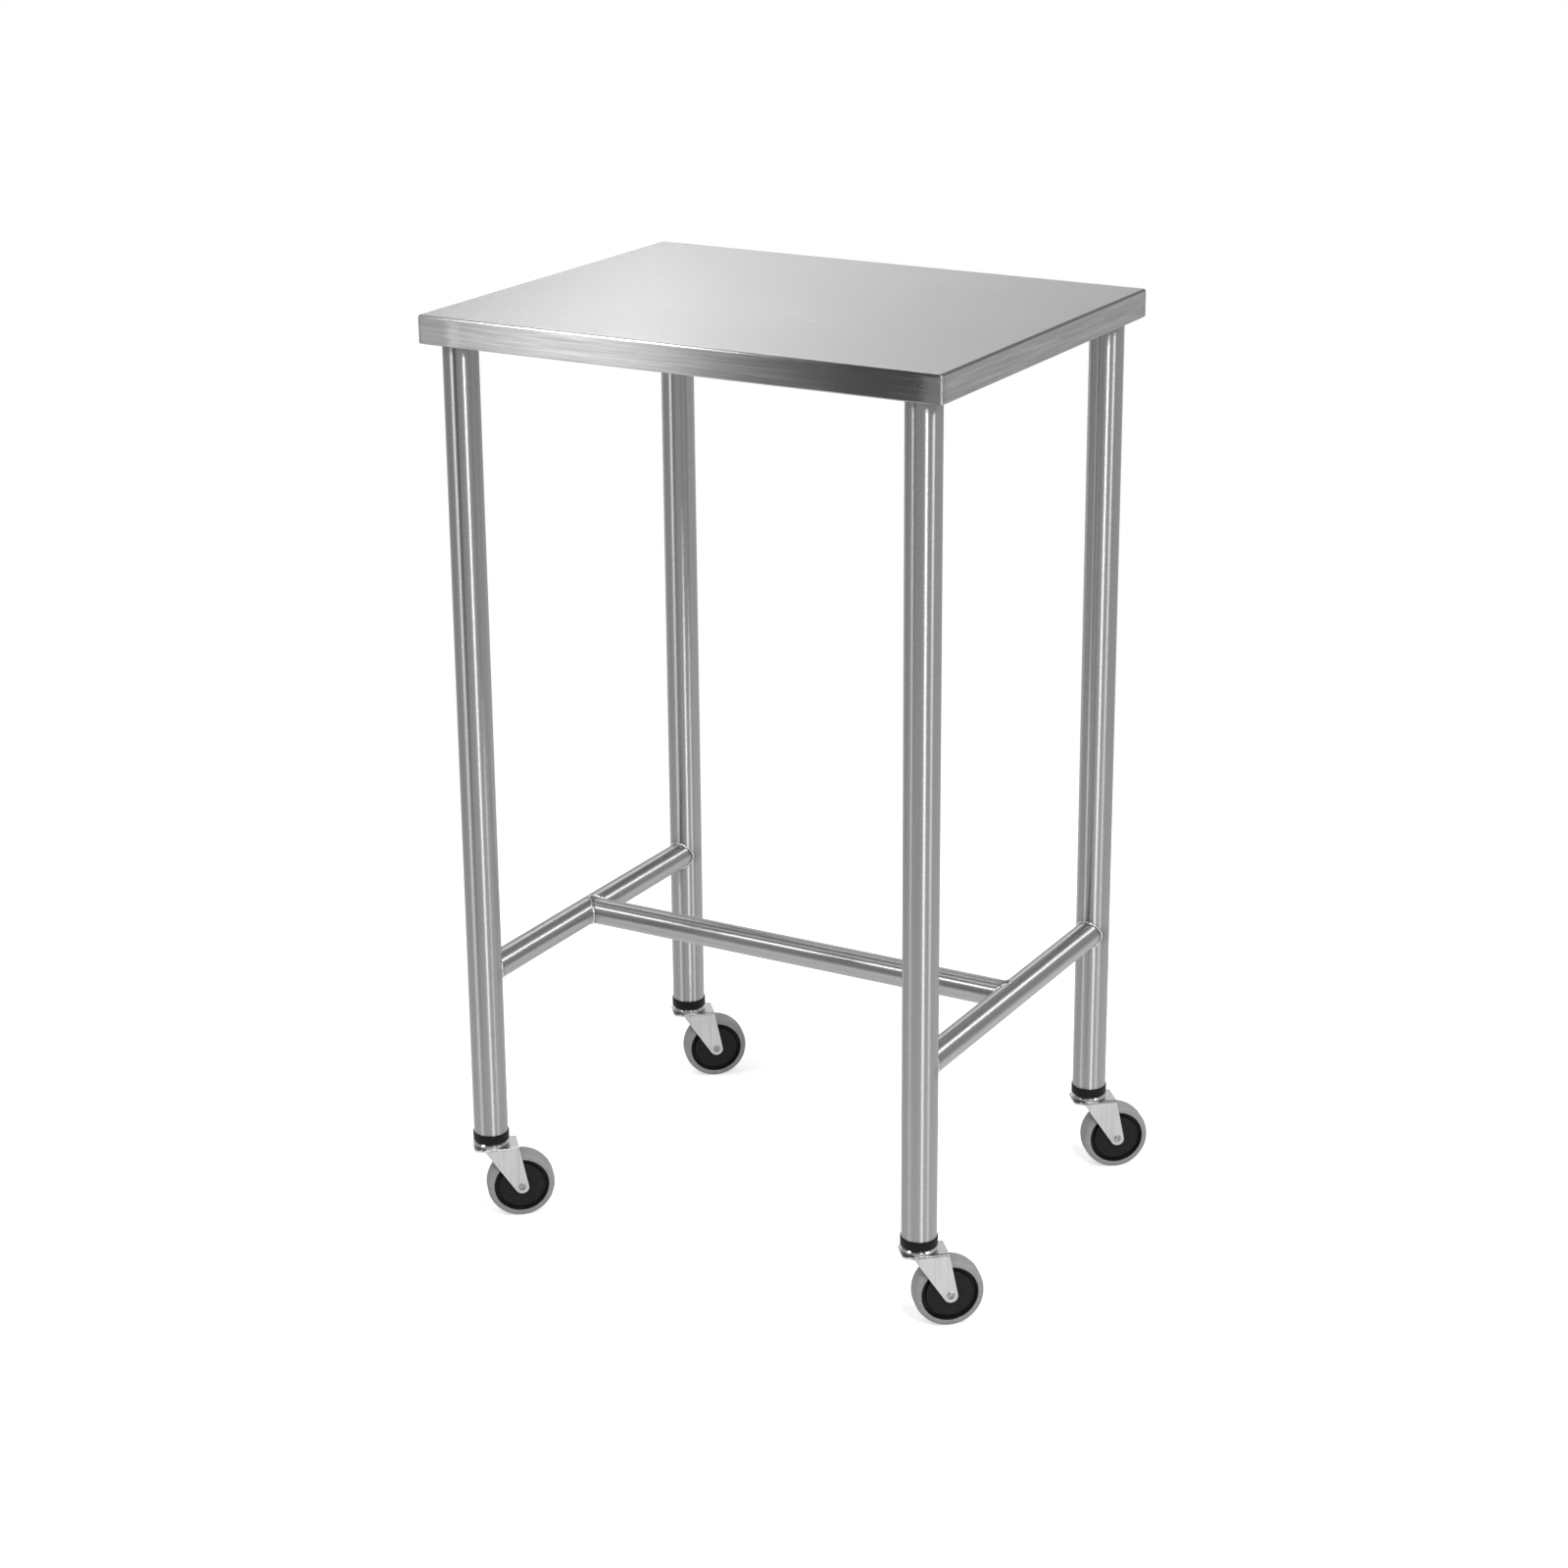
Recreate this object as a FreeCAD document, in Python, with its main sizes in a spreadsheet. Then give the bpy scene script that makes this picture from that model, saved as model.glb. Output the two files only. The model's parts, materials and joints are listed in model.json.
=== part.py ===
import FreeCAD, Part
import os
import re

import Sketcher

# Instrument table: a folded sheet top on four round legs, with a low H-shaped brace and four swivel casters.
#
# The frame's origin is the centre of the work surface, on its upper face. +X runs along the long side,
# +Y away from the front, +Z up, so the floor is one table height below the origin. All sizes are in mm.

SIZES = {
    # Work surface: one folded sheet, with its edges turned down and hemmed
    "top_length": 508.0,
    "top_depth": 406.4,
    "table_height": 863.6,
    "sheet": 1.5,
    "apron_height": 25.4,
    "bend_radius": 2.5,
    "corner_radius": 3.0,
    "hem_height": 10.0,
    "hem_corner_gap": 8.0,
    # Folded channels and hat section under the work surface
    "channel_sheet": 1.5,
    "channel_depth": 18.0,
    "channel_bend": 1.0,
    "channel_leg_play": 0.8,
    "channel_hem_gap": 3.0,
    "hat_sheet": 1.2,
    "hat_depth": 15.0,
    "hat_crown": 50.0,
    "hat_flange": 16.0,
    "hat_end_gap": 1.0,
    # Legs and brace
    "leg_diameter": 31.75,
    "leg_wall": 1.6,
    "leg_end_inset": 28.0,
    "leg_side_inset": 23.2,
    "rail_diameter": 25.4,
    "rail_wall": 1.5,
    "rail_height": 247.0,
    "weld_gap": 0.1,
    "cope_land": 1.5,
    # Caster wheel
    "wheel_diameter": 63.5,
    "tread_width": 22.0,
    "tread_flat": 11.0,
    "shoulder_width": 3.4,
    "shoulder_drop": 0.9,
    "shoulder_depth": 3.0,
    "tyre_depth": 5.9,
    "tyre_bond": 0.05,
    "hub_length": 24.4,
    "hub_boss_radius": 7.5,
    "hub_disc_radius": 21.8,
    "hub_disc_width": 19.0,
    "hub_groove_width": 13.0,
    "hub_rim": 1.0,
    "hub_rim_width": 20.6,
    # Caster axle
    "axle_diameter": 6.0,
    "axle_bore": 3.2,
    "axle_head_diameter": 7.6,
    "axle_head": 1.1,
    "sleeve_wall": 1.4,
    "axle_fit": 0.04,
    "hub_fit": 0.06,
    "hub_side_play": 0.3,
    # Caster fork
    "caster_trail": 26.0,
    "caster_turn": 40.0,
    "fork_plate": 2.0,
    "fork_bend": 1.5,
    "crown_back": 17.0,
    "crown_front": 24.4,
    "crown_corner": 6.0,
    "fork_leg_back": 8.5,
    "fork_tip_radius": 6.4,
    "wheel_top_gap": 7.5,
    # Caster swivel bearing
    "kingpin_diameter": 8.0,
    "kingpin_fit": 0.06,
    "kingpin_head_diameter": 14.0,
    "kingpin_head": 2.0,
    "race_diameter": 28.5,
    "race_rise": 1.8,
    "race_edge": 0.8,
    "race_gap": 4.0,
    "cup_plate": 1.5,
    "cup_diameter": 34.0,
    "cup_lip": 0.9,
    "cup_slope": 1.6,
    "washer_plate": 1.2,
    "washer_diameter": 19.0,
    "washer_play": 0.1,
    # Caster socket and stem in the foot of the leg
    "socket_ring": 9.0,
    "socket_ring_step": 0.9,
    "socket_edge": 0.8,
    "socket_plug": 30.0,
    "socket_fit": 0.06,
    "stem_diameter": 11.1,
    "stem_length": 34.0,
    "stem_tip": 1.0,
}

# Places and sizes that follow from the ones above. Heights in a caster are measured up from the floor.
WORKED_OUT = {
    "leg_x": "top_length / 2 - leg_end_inset",
    "leg_y": "top_depth / 2 - leg_side_inset",
    "hem_fold": "0.9 * sheet",
    "hem_inside": "2 * sheet",
    "channel_half": "leg_diameter / 2 + channel_leg_play + channel_sheet",
    "channel_length": "top_depth - 2 * (hem_inside + channel_hem_gap)",
    "leg_top": "-(sheet + channel_sheet)",
    "leg_length": "table_height + leg_top - leg_foot",
    "wheel_radius": "wheel_diameter / 2",
    "hub_radius": "wheel_radius - tyre_depth - tyre_bond",
    "fork_inside": "hub_length + 2 * hub_side_play",
    "fork_width": "fork_inside + 2 * fork_plate",
    "crown_under": "wheel_diameter + wheel_top_gap",
    "crown_top": "crown_under + fork_plate",
    "cup_under": "crown_top + race_gap",
    "cup_top": "cup_under + cup_plate",
    "leg_foot": "cup_top + socket_ring",
    "washer_top": "crown_under - washer_play",
    "washer_under": "washer_top - washer_plate",
    "kingpin_radius": "kingpin_diameter / 2",
    "stem_radius": "stem_diameter / 2",
    "plug_radius": "leg_diameter / 2 - leg_wall - socket_fit",
    "ring_radius": "leg_diameter / 2 + socket_ring_step",
    "axle_radius": "axle_diameter / 2",
    "sleeve_bore": "axle_radius + axle_fit",
    "sleeve_radius": "sleeve_bore + sleeve_wall",
}

# Which way each leg stands from the middle of the table
CORNERS = {
    "front_left": (-1, -1),
    "front_right": (1, -1),
    "back_left": (-1, 1),
    "back_right": (1, 1),
}
SIDES = {"left": -1, "right": 1}

CLOSE = 0.01
SPILL = 5.0

document = FreeCAD.newDocument("instrument_table")
sheet = document.addObject("Spreadsheet::Sheet", "sizes")
nodes = []


# Sizes and expressions


def fill_sheet():
    """Write each size as a plain number in a cell of its own, with its name as the alias."""
    for row, (name, size) in enumerate(SIZES.items(), 1):
        sheet.set(f"A{row}", name)
        sheet.set(f"B{row}", str(size))
        sheet.setAlias(f"B{row}", name)
    document.recompute()


def bound(text):
    """The text as an expression: worked-out values opened up, and each size pointed at its cell."""

    def meaning(found):
        word = found.group()
        if word in WORKED_OUT:
            return f"({bound(WORKED_OUT[word])})"
        return f"sizes.{word}" if word in SIZES else word

    return re.sub(r"[a-z_]+", meaning, text)


def number(text):
    """What the expression comes to now, as a plain number."""
    return float(sheet.evalExpression(bound(text)))


# Bodies and sketches


def new_body(label, across="0", along="0", up="0", turn="0"):
    """An empty body with its label, placed and turned about Z by expressions."""
    body = document.addObject("PartDesign::Body", label)
    body.Label = label
    body.Placement = FreeCAD.Placement(FreeCAD.Vector(), FreeCAD.Rotation(FreeCAD.Vector(0, 0, 1), 1.0))
    for path, text in (("Base.x", across), ("Base.y", along), ("Base.z", up), ("Rotation.Angle", turn)):
        body.setExpression(f"Placement.{path}", bound(text))
    nodes.append(body)
    return body


def origin_part(body, role):
    """One of the body's own origin planes or axes."""
    return next(part for part in body.Origin.OriginFeatures if part.Role == role)


def new_sketch(body, name, plane, height="0", across="0"):
    """A sketch on one of the body's origin planes, moved off it by height and along it by across."""
    sketch = body.newObject("Sketcher::SketchObject", name)
    sketch.AttachmentSupport = [(origin_part(body, plane), "")]
    sketch.MapMode = "FlatFace"
    sketch.setExpression("AttachmentOffset.Base.z", bound(height))
    sketch.setExpression("AttachmentOffset.Base.x", bound(across))
    return sketch


def dimension(sketch, kind, where, text):
    """Add a named dimension to the sketch and tie it to an expression."""
    index = sketch.addConstraint(Sketcher.Constraint(kind, *where, number(text)))
    name = f"size{index}"
    sketch.renameConstraint(index, name)
    sketch.setExpression(f"Constraints.{name}", bound(text))


def pin_point(sketch, geometry, end, across, up):
    """Hold one point of the geometry at a place measured from the sketch's origin."""
    dimension(sketch, "DistanceX", (-1, 1, geometry, end), across)
    dimension(sketch, "DistanceY", (-1, 1, geometry, end), up)


def draw_outline(sketch, corners):
    """A closed run of straight lines. Each corner is a pair of expressions."""
    points = [FreeCAD.Vector(number(across), number(up), 0) for across, up in corners]
    first = sketch.GeometryCount
    for start, end in zip(points, points[1:] + points[:1]):
        sketch.addGeometry(Part.LineSegment(start, end))
    for step, (across, up) in enumerate(corners):
        following = first + (step + 1) % len(corners)
        sketch.addConstraint(Sketcher.Constraint("Coincident", first + step, 2, following, 1))
        pin_point(sketch, first + step, 1, across, up)


def draw_box(sketch, left, right, low, high):
    """A rectangle between four places, each an expression."""
    draw_outline(sketch, [(left, low), (right, low), (right, high), (left, high)])


def draw_circle(sketch, radius, across="0", up="0"):
    """A circle about a place given by expressions."""
    centre = FreeCAD.Vector(number(across), number(up), 0)
    circle = sketch.addGeometry(Part.Circle(centre, FreeCAD.Vector(0, 0, 1), number(radius)))
    dimension(sketch, "Radius", (circle,), radius)
    pin_point(sketch, circle, 3, across, up)


def draw_rounded_box(sketch, left, right, low, high, radius):
    """A rectangle between four places, with a quarter arc tangent to the sides at each corner."""
    x0, x1, y0, y1, r = (number(text) for text in (left, right, low, high, radius))
    sides = [((x0 + r, y0), (x1 - r, y0)), ((x1, y0 + r), (x1, y1 - r))]
    sides += [((x1 - r, y1), (x0 + r, y1)), ((x0, y1 - r), (x0, y0 + r))]
    centres = [(x1 - r, y0 + r), (x1 - r, y1 - r), (x0 + r, y1 - r), (x0 + r, y0 + r)]
    first = sketch.GeometryCount
    for start, end in sides:
        sketch.addGeometry(Part.LineSegment(FreeCAD.Vector(*start, 0), FreeCAD.Vector(*end, 0)))
    for quarter, centre in enumerate(centres):
        circle = Part.Circle(FreeCAD.Vector(*centre, 0), FreeCAD.Vector(0, 0, 1), r)
        start = (quarter - 1) * QUARTER_TURN
        sketch.addGeometry(Part.ArcOfCircle(circle, start, start + QUARTER_TURN))
    arc = first + len(sides)
    for quarter in range(len(sides)):
        following = first + (quarter + 1) % len(sides)
        sketch.addConstraint(Sketcher.Constraint("Tangent", first + quarter, 2, arc + quarter, 1))
        sketch.addConstraint(Sketcher.Constraint("Tangent", arc + quarter, 2, following, 1))
        if quarter:
            sketch.addConstraint(Sketcher.Constraint("Equal", arc, arc + quarter))
    for line, direction in zip(range(first, arc), ("Horizontal", "Vertical", "Horizontal", "Vertical")):
        sketch.addConstraint(Sketcher.Constraint(direction, line))
    dimension(sketch, "Radius", (arc,), radius)
    dimension(sketch, "DistanceY", (-1, 1, first, 1), low)
    dimension(sketch, "DistanceX", (-1, 1, first + 1, 1), right)
    dimension(sketch, "DistanceY", (-1, 1, first + 2, 1), high)
    dimension(sketch, "DistanceX", (-1, 1, first + 3, 1), left)


QUARTER_TURN = 1.5707963267948966


# Features


def pad(body, name, sketch, length, side="One side", reverse=False):
    """Pad the sketch by an expression's length."""
    feature = body.newObject("PartDesign::Pad", name)
    feature.Profile = sketch
    feature.setExpression("Length", bound(length))
    feature.SideType = side
    feature.Reversed = reverse
    document.recompute()
    return feature


def cut(body, name, sketch, depth=None):
    """Pocket the sketch, by a depth against its normal or right through both ways, and see that it cuts."""
    before = body.Shape.Volume
    feature = body.newObject("PartDesign::Pocket", name)
    feature.Profile = sketch
    if depth is None:
        feature.Type = "ThroughAll"
        feature.SideType = "Symmetric"
    else:
        feature.setExpression("Length", bound(depth))
    document.recompute()
    if not body.Shape.Volume < before - CLOSE:
        raise ValueError(f"{body.Label}: {name} cuts nothing")
    return feature


def turn_about(body, name, sketch):
    """Revolve the sketch once about its own vertical axis."""
    feature = body.newObject("PartDesign::Revolution", name)
    feature.Profile = sketch
    feature.ReferenceAxis = (sketch, ["V_Axis"])
    feature.Angle = 360
    document.recompute()
    return feature


def edges_at(feature, **places):
    """Names of the feature's edges that keep to the given places; both sides of the middle count."""
    found = []
    for index, edge in enumerate(feature.Shape.Edges, 1):
        box = edge.BoundBox
        spans = {"x": (box.XMin, box.XMax), "y": (box.YMin, box.YMax), "z": (box.ZMin, box.ZMax)}
        held = [(*spans[axis], number(text)) for axis, text in places.items()]
        if all(high - low < CLOSE and abs(abs(low) - abs(place)) < CLOSE for low, high, place in held):
            found.append(f"Edge{index}")
    if not found:
        raise ValueError(f"{feature.Label}: no edge at {places}")
    return found


def fillet(body, name, radius, *where):
    """Round the edges of the body's last feature that lie at the given places."""
    base = body.Tip
    edges = [edge for places in where for edge in edges_at(base, **places)]
    feature = body.newObject("PartDesign::Fillet", name)
    feature.Base = (base, edges)
    feature.setExpression("Radius", bound(radius))
    document.recompute()
    return feature


def repeat_at_legs(body, feature):
    """Repeat a feature made at the front left leg at the other three legs."""
    pattern = body.newObject("PartDesign::LinearPattern", "at_legs")
    pattern.Originals = [feature]
    pattern.Direction = (origin_part(body, "X_Axis"), [""])
    pattern.Direction2 = (origin_part(body, "Y_Axis"), [""])
    pattern.setExpression("Length", bound("2 * leg_x"))
    pattern.setExpression("Length2", bound("2 * leg_y"))
    pattern.Occurrences = 2
    pattern.Occurrences2 = 2
    body.Tip = pattern
    document.recompute()


# Work surface and what stiffens it


def make_tabletop():
    """The folded sheet: flat top, apron on four sides, and a hem folded up inside each apron."""
    body = new_body("tabletop")
    outline = new_sketch(body, "outline", "XY_Plane")
    draw_rounded_box(
        outline, "-top_length / 2", "top_length / 2", "-top_depth / 2", "top_depth / 2", "corner_radius"
    )
    pad(body, "blank", outline, "apron_height", reverse=True)
    fillet(body, "top_bend", "bend_radius", {"z": "0"})
    fillet(body, "hem_outside", "hem_fold", {"z": "apron_height"})
    hollow = new_sketch(body, "hollow", "XY_Plane", "-sheet")
    draw_rounded_box(
        hollow,
        "sheet - top_length / 2",
        "top_length / 2 - sheet",
        "sheet - top_depth / 2",
        "top_depth / 2 - sheet",
        "corner_radius - sheet",
    )
    cut(body, "inside", hollow, "apron_height")
    fillet(body, "inside_bend", "bend_radius - sheet", {"z": "sheet"})
    hem = new_sketch(body, "hem", "XY_Plane", "-apron_height")
    for half_run, half_other, upright in (
        ("top_length / 2", "top_depth / 2", False),
        ("top_depth / 2", "top_length / 2", True),
    ):
        ends = (f"hem_corner_gap - {half_run}", f"{half_run} - hem_corner_gap")
        for sign in (-1, 1):
            wall = (f"{sign} * ({half_other} - hem_inside)", f"{sign} * ({half_other} - 0.5 * sheet)")
            places = (*wall, *ends) if upright else (*ends, *wall)
            draw_box(hem, *places)
    pad(body, "hems", hem, "hem_height")
    fillet(
        body,
        "hem_inside_fold",
        "hem_fold",
        {"x": "top_length / 2 - hem_inside", "z": "apron_height"},
        {"y": "top_depth / 2 - hem_inside", "z": "apron_height"},
    )


def make_end_channel(side):
    """A folded channel, open downwards, that runs from front to back over the tops of two legs."""
    body = new_body(f"end_channel_{side}", f"{SIDES[side]} * leg_x")
    section = new_sketch(body, "section", "XZ_Plane")
    wall = "(channel_half - channel_sheet)"
    foot = "-(sheet + channel_depth)"
    draw_outline(
        section,
        [
            ("-channel_half", foot),
            ("-channel_half", "-sheet"),
            ("channel_half", "-sheet"),
            ("channel_half", foot),
            (wall, foot),
            (wall, "leg_top"),
            (f"-{wall}", "leg_top"),
            (f"-{wall}", foot),
        ],
    )
    pad(body, "channel", section, "channel_length", "Symmetric")
    fillet(body, "outer_bend", "channel_bend + channel_sheet", {"x": "channel_half", "z": "sheet"})
    fillet(body, "inner_bend", "channel_bend", {"x": wall, "z": "leg_top"})


def make_centre_stiffener():
    """A folded hat section between the two end channels, its flanges flat against the work surface."""
    body = new_body("centre_stiffener")
    section = new_sketch(body, "section", "YZ_Plane")
    crown = "hat_crown / 2"
    brim = "(hat_crown / 2 + hat_flange)"
    inner = "(hat_crown / 2 - hat_sheet)"
    right_half = [
        (brim, "-sheet"),
        (brim, "-(sheet + hat_sheet)"),
        (crown, "-(sheet + hat_sheet)"),
        (crown, "-(sheet + hat_depth)"),
    ]
    inside = [(inner, "-(sheet + hat_depth - hat_sheet)"), (inner, "-sheet")]
    left_half = [(f"-{across}", up) for across, up in reversed(right_half)]
    inside_left = [(f"-{across}", up) for across, up in reversed(inside)]
    draw_outline(section, right_half + left_half + inside_left + inside)
    pad(body, "hat", section, "2 * (leg_x - channel_half - hat_end_gap)", "Symmetric")
    fillet(body, "outer_bend", "hat_sheet + channel_bend", {"y": crown, "z": "sheet + hat_depth"})
    fillet(body, "inner_bend", "channel_bend", {"y": inner, "z": "sheet + hat_depth - hat_sheet"})


# Legs and brace


def make_leg(corner):
    """A round tube from the end channel down to the caster's socket."""
    x_sign, y_sign = CORNERS[corner]
    body = new_body(f"leg_{corner}", f"{x_sign} * leg_x", f"{y_sign} * leg_y", "leg_top")
    section = new_sketch(body, "section", "XY_Plane")
    draw_circle(section, "leg_diameter / 2")
    draw_circle(section, "leg_diameter / 2 - leg_wall")
    pad(body, "tube", section, "leg_length", reverse=True)


def make_rail(body, half_span, post_radius, post_plane):
    """A round tube along the body's X, coped at both ends to round posts that stand half_span away."""
    section = new_sketch(body, "section", "YZ_Plane")
    draw_circle(section, "rail_diameter / 2")
    draw_circle(section, "rail_diameter / 2 - rail_wall")
    pad(body, "tube", section, f"2 * ({half_span} - cope_land)", "Symmetric")
    posts = new_sketch(body, "posts", post_plane)
    for sign in (-1, 1):
        draw_circle(posts, f"{post_radius} + weld_gap", f"{sign} * {half_span}")
    cut(body, "copes", posts)


def make_side_rail(side):
    """The brace's rail at one end of the table, between a front leg and a back leg."""
    body = new_body(
        f"side_rail_{side}", f"{SIDES[side]} * leg_x", up="rail_height - table_height", turn="90"
    )
    make_rail(body, "leg_y", "leg_diameter / 2", "XY_Plane")


def make_cross_rail():
    """The brace's long rail, between the middles of the two side rails."""
    body = new_body("cross_rail", up="rail_height - table_height")
    make_rail(body, "leg_x", "rail_diameter / 2", "XZ_Plane")


# Turned pieces of the casters, at rest with the fork trailing along the caster's own X


def body_at_leg(name, corner, turn="0"):
    """A body whose origin is on the floor under one leg."""
    x_sign, y_sign = CORNERS[corner]
    return new_body(name, f"{x_sign} * leg_x", f"{y_sign} * leg_y", "-table_height", turn)


def make_under_legs(label, corners):
    """Four like pieces turned about the axes of the legs, from one outline of radius and height."""
    body = body_at_leg(label, "front_left")
    profile = new_sketch(body, "profile", "XZ_Plane")
    draw_outline(profile, corners)
    repeat_at_legs(body, turn_about(body, "turned", profile))


def make_on_axle(label, corner, corners):
    """A piece turned about the caster's axle, from one outline of radius and place along the axle."""
    body = body_at_leg(label, corner, "caster_turn")
    profile = new_sketch(body, "profile", "XY_Plane", "wheel_radius", "caster_trail")
    draw_outline(profile, corners)
    turn_about(body, "turned", profile)


def mirrored(half):
    """A closed outline from its upper half, which runs from the axle outwards."""
    return half + [(radius, f"-({along})") for radius, along in reversed(half)]


def make_sockets():
    """The black plugs in the legs' feet, with the ring that each leg stands on."""
    bore = "stem_radius + socket_fit"
    make_under_legs(
        "caster_sockets",
        [
            (bore, "cup_top"),
            ("ring_radius - socket_edge", "cup_top"),
            ("ring_radius", "cup_top + socket_edge"),
            ("ring_radius", "leg_foot"),
            ("plug_radius", "leg_foot"),
            ("plug_radius", "leg_foot + socket_plug - socket_edge"),
            ("plug_radius - socket_edge", "leg_foot + socket_plug"),
            (bore, "leg_foot + socket_plug"),
        ],
    )


def make_stems():
    """The stems: a shank in the socket, a kingpin through cup, crown and washer, and its peened head."""
    make_under_legs(
        "caster_stems",
        [
            ("0", "washer_under - kingpin_head"),
            ("kingpin_head_diameter / 2", "washer_under - kingpin_head"),
            ("kingpin_head_diameter / 2", "washer_under"),
            ("kingpin_radius", "washer_under"),
            ("kingpin_radius", "cup_top"),
            ("stem_radius", "cup_top"),
            ("stem_radius", "cup_top + stem_length - stem_tip"),
            ("stem_radius - stem_tip", "cup_top + stem_length"),
            ("0", "cup_top + stem_length"),
        ],
    )


def make_race_cups():
    """The pressed cups under the sockets: a flat plate with a sloped shoulder and a turned-down lip."""
    make_under_legs(
        "race_cups",
        [
            ("kingpin_radius + kingpin_fit", "cup_under"),
            ("cup_diameter / 2 - cup_plate", "cup_under"),
            ("cup_diameter / 2 - cup_plate", "cup_under - cup_lip"),
            ("cup_diameter / 2", "cup_under - cup_lip"),
            ("cup_diameter / 2", "cup_top - cup_slope"),
            ("cup_diameter / 2 - cup_slope", "cup_top"),
            ("kingpin_radius + kingpin_fit", "cup_top"),
        ],
    )


def make_thrust_washers():
    """The flat washers between the forks' crowns and the kingpins' heads."""
    make_under_legs(
        "thrust_washers",
        [
            ("kingpin_radius + kingpin_fit", "washer_under"),
            ("washer_diameter / 2", "washer_under"),
            ("washer_diameter / 2", "washer_top"),
            ("kingpin_radius + kingpin_fit", "washer_top"),
        ],
    )


def make_axle(corner):
    """The hollow rivet through the fork's legs, with a head formed on each side."""
    half = [
        ("axle_bore / 2", "fork_width / 2 + axle_head"),
        ("axle_head_diameter / 2", "fork_width / 2 + axle_head"),
        ("axle_head_diameter / 2", "fork_width / 2"),
        ("axle_radius", "fork_width / 2"),
    ]
    make_on_axle(f"axle_{corner}", corner, mirrored(half))


def make_axle_sleeve(corner):
    """The plain bearing tube that the fork's legs clamp, on which the hub runs."""
    half = [("sleeve_bore", "fork_inside / 2"), ("sleeve_radius", "fork_inside / 2")]
    make_on_axle(f"axle_sleeve_{corner}", corner, mirrored(half))


def make_hub(corner):
    """The moulded hub: boss, flat face disc, recessed ring and thin rim, alike on both faces."""
    half = [
        ("sleeve_radius + hub_fit", "hub_length / 2"),
        ("hub_boss_radius", "hub_length / 2"),
        ("hub_boss_radius", "hub_disc_width / 2"),
        ("hub_disc_radius", "hub_disc_width / 2"),
        ("hub_disc_radius", "hub_groove_width / 2"),
        ("hub_radius - hub_rim", "hub_groove_width / 2"),
        ("hub_radius - hub_rim", "hub_rim_width / 2"),
        ("hub_radius", "hub_rim_width / 2"),
    ]
    make_on_axle(f"hub_{corner}", corner, mirrored(half))


def make_tyre(corner):
    """The rubber tyre: flat sides, a two-step shoulder and a nearly flat tread."""
    half = [
        ("wheel_radius - tyre_depth", "tread_width / 2"),
        ("wheel_radius - shoulder_depth", "tread_width / 2"),
        ("wheel_radius - shoulder_drop", "tread_width / 2 - shoulder_width / 2"),
        ("wheel_radius", "tread_flat / 2"),
    ]
    make_on_axle(f"tyre_{corner}", corner, mirrored(half))


# Pressed fork


def make_fork(corner):
    """The fork, pressed from one plate: a crown with a raised race, and two legs that narrow to the axle."""
    body = body_at_leg(f"fork_{corner}", corner, "caster_turn")
    section = new_sketch(body, "section", "YZ_Plane", "-crown_back")
    tip = "(wheel_radius - fork_tip_radius)"
    draw_outline(
        section,
        [
            ("-fork_width / 2", tip),
            ("-fork_width / 2", "crown_top"),
            ("fork_width / 2", "crown_top"),
            ("fork_width / 2", tip),
            ("fork_inside / 2", tip),
            ("fork_inside / 2", "crown_under"),
            ("-fork_inside / 2", "crown_under"),
            ("-fork_inside / 2", tip),
        ],
    )
    pad(body, "arch", section, "crown_back + caster_trail + fork_tip_radius")
    fillet(body, "outer_bend", "fork_bend + fork_plate", {"y": "fork_width / 2", "z": "crown_top"})
    fillet(body, "inner_bend", "fork_bend", {"y": "fork_inside / 2", "z": "crown_under"})
    trim = new_sketch(body, "trim", "XZ_Plane")
    draw_fork_side(trim)
    cut(body, "legs_trimmed", trim)
    plan = new_sketch(body, "plan", "XY_Plane")
    far = f"crown_back + caster_trail + fork_tip_radius + {SPILL}"
    wide = f"fork_width / 2 + {SPILL}"
    draw_box(plan, f"-(2 * ({far}))", f"2 * ({far})", f"-(2 * ({wide}))", f"2 * ({wide})")
    draw_rounded_box(plan, "-crown_back", far, f"-({wide})", wide, f"crown_corner + {SPILL}")
    cut(body, "crown_rounded", plan)
    race = new_sketch(body, "race", "XY_Plane", "crown_under")
    draw_circle(race, "race_diameter / 2")
    pad(body, "raised_race", race, "fork_plate + race_rise")
    fillet(body, "race_edge", "race_edge", {"z": "crown_top + race_rise"})
    pin = new_sketch(body, "pin", "XY_Plane")
    draw_circle(pin, "kingpin_radius + kingpin_fit")
    cut(body, "kingpin_hole", pin)
    holes = new_sketch(body, "holes", "XZ_Plane")
    draw_circle(holes, "axle_radius + axle_fit", "caster_trail", "wheel_radius")
    cut(body, "axle_holes", holes)


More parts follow.
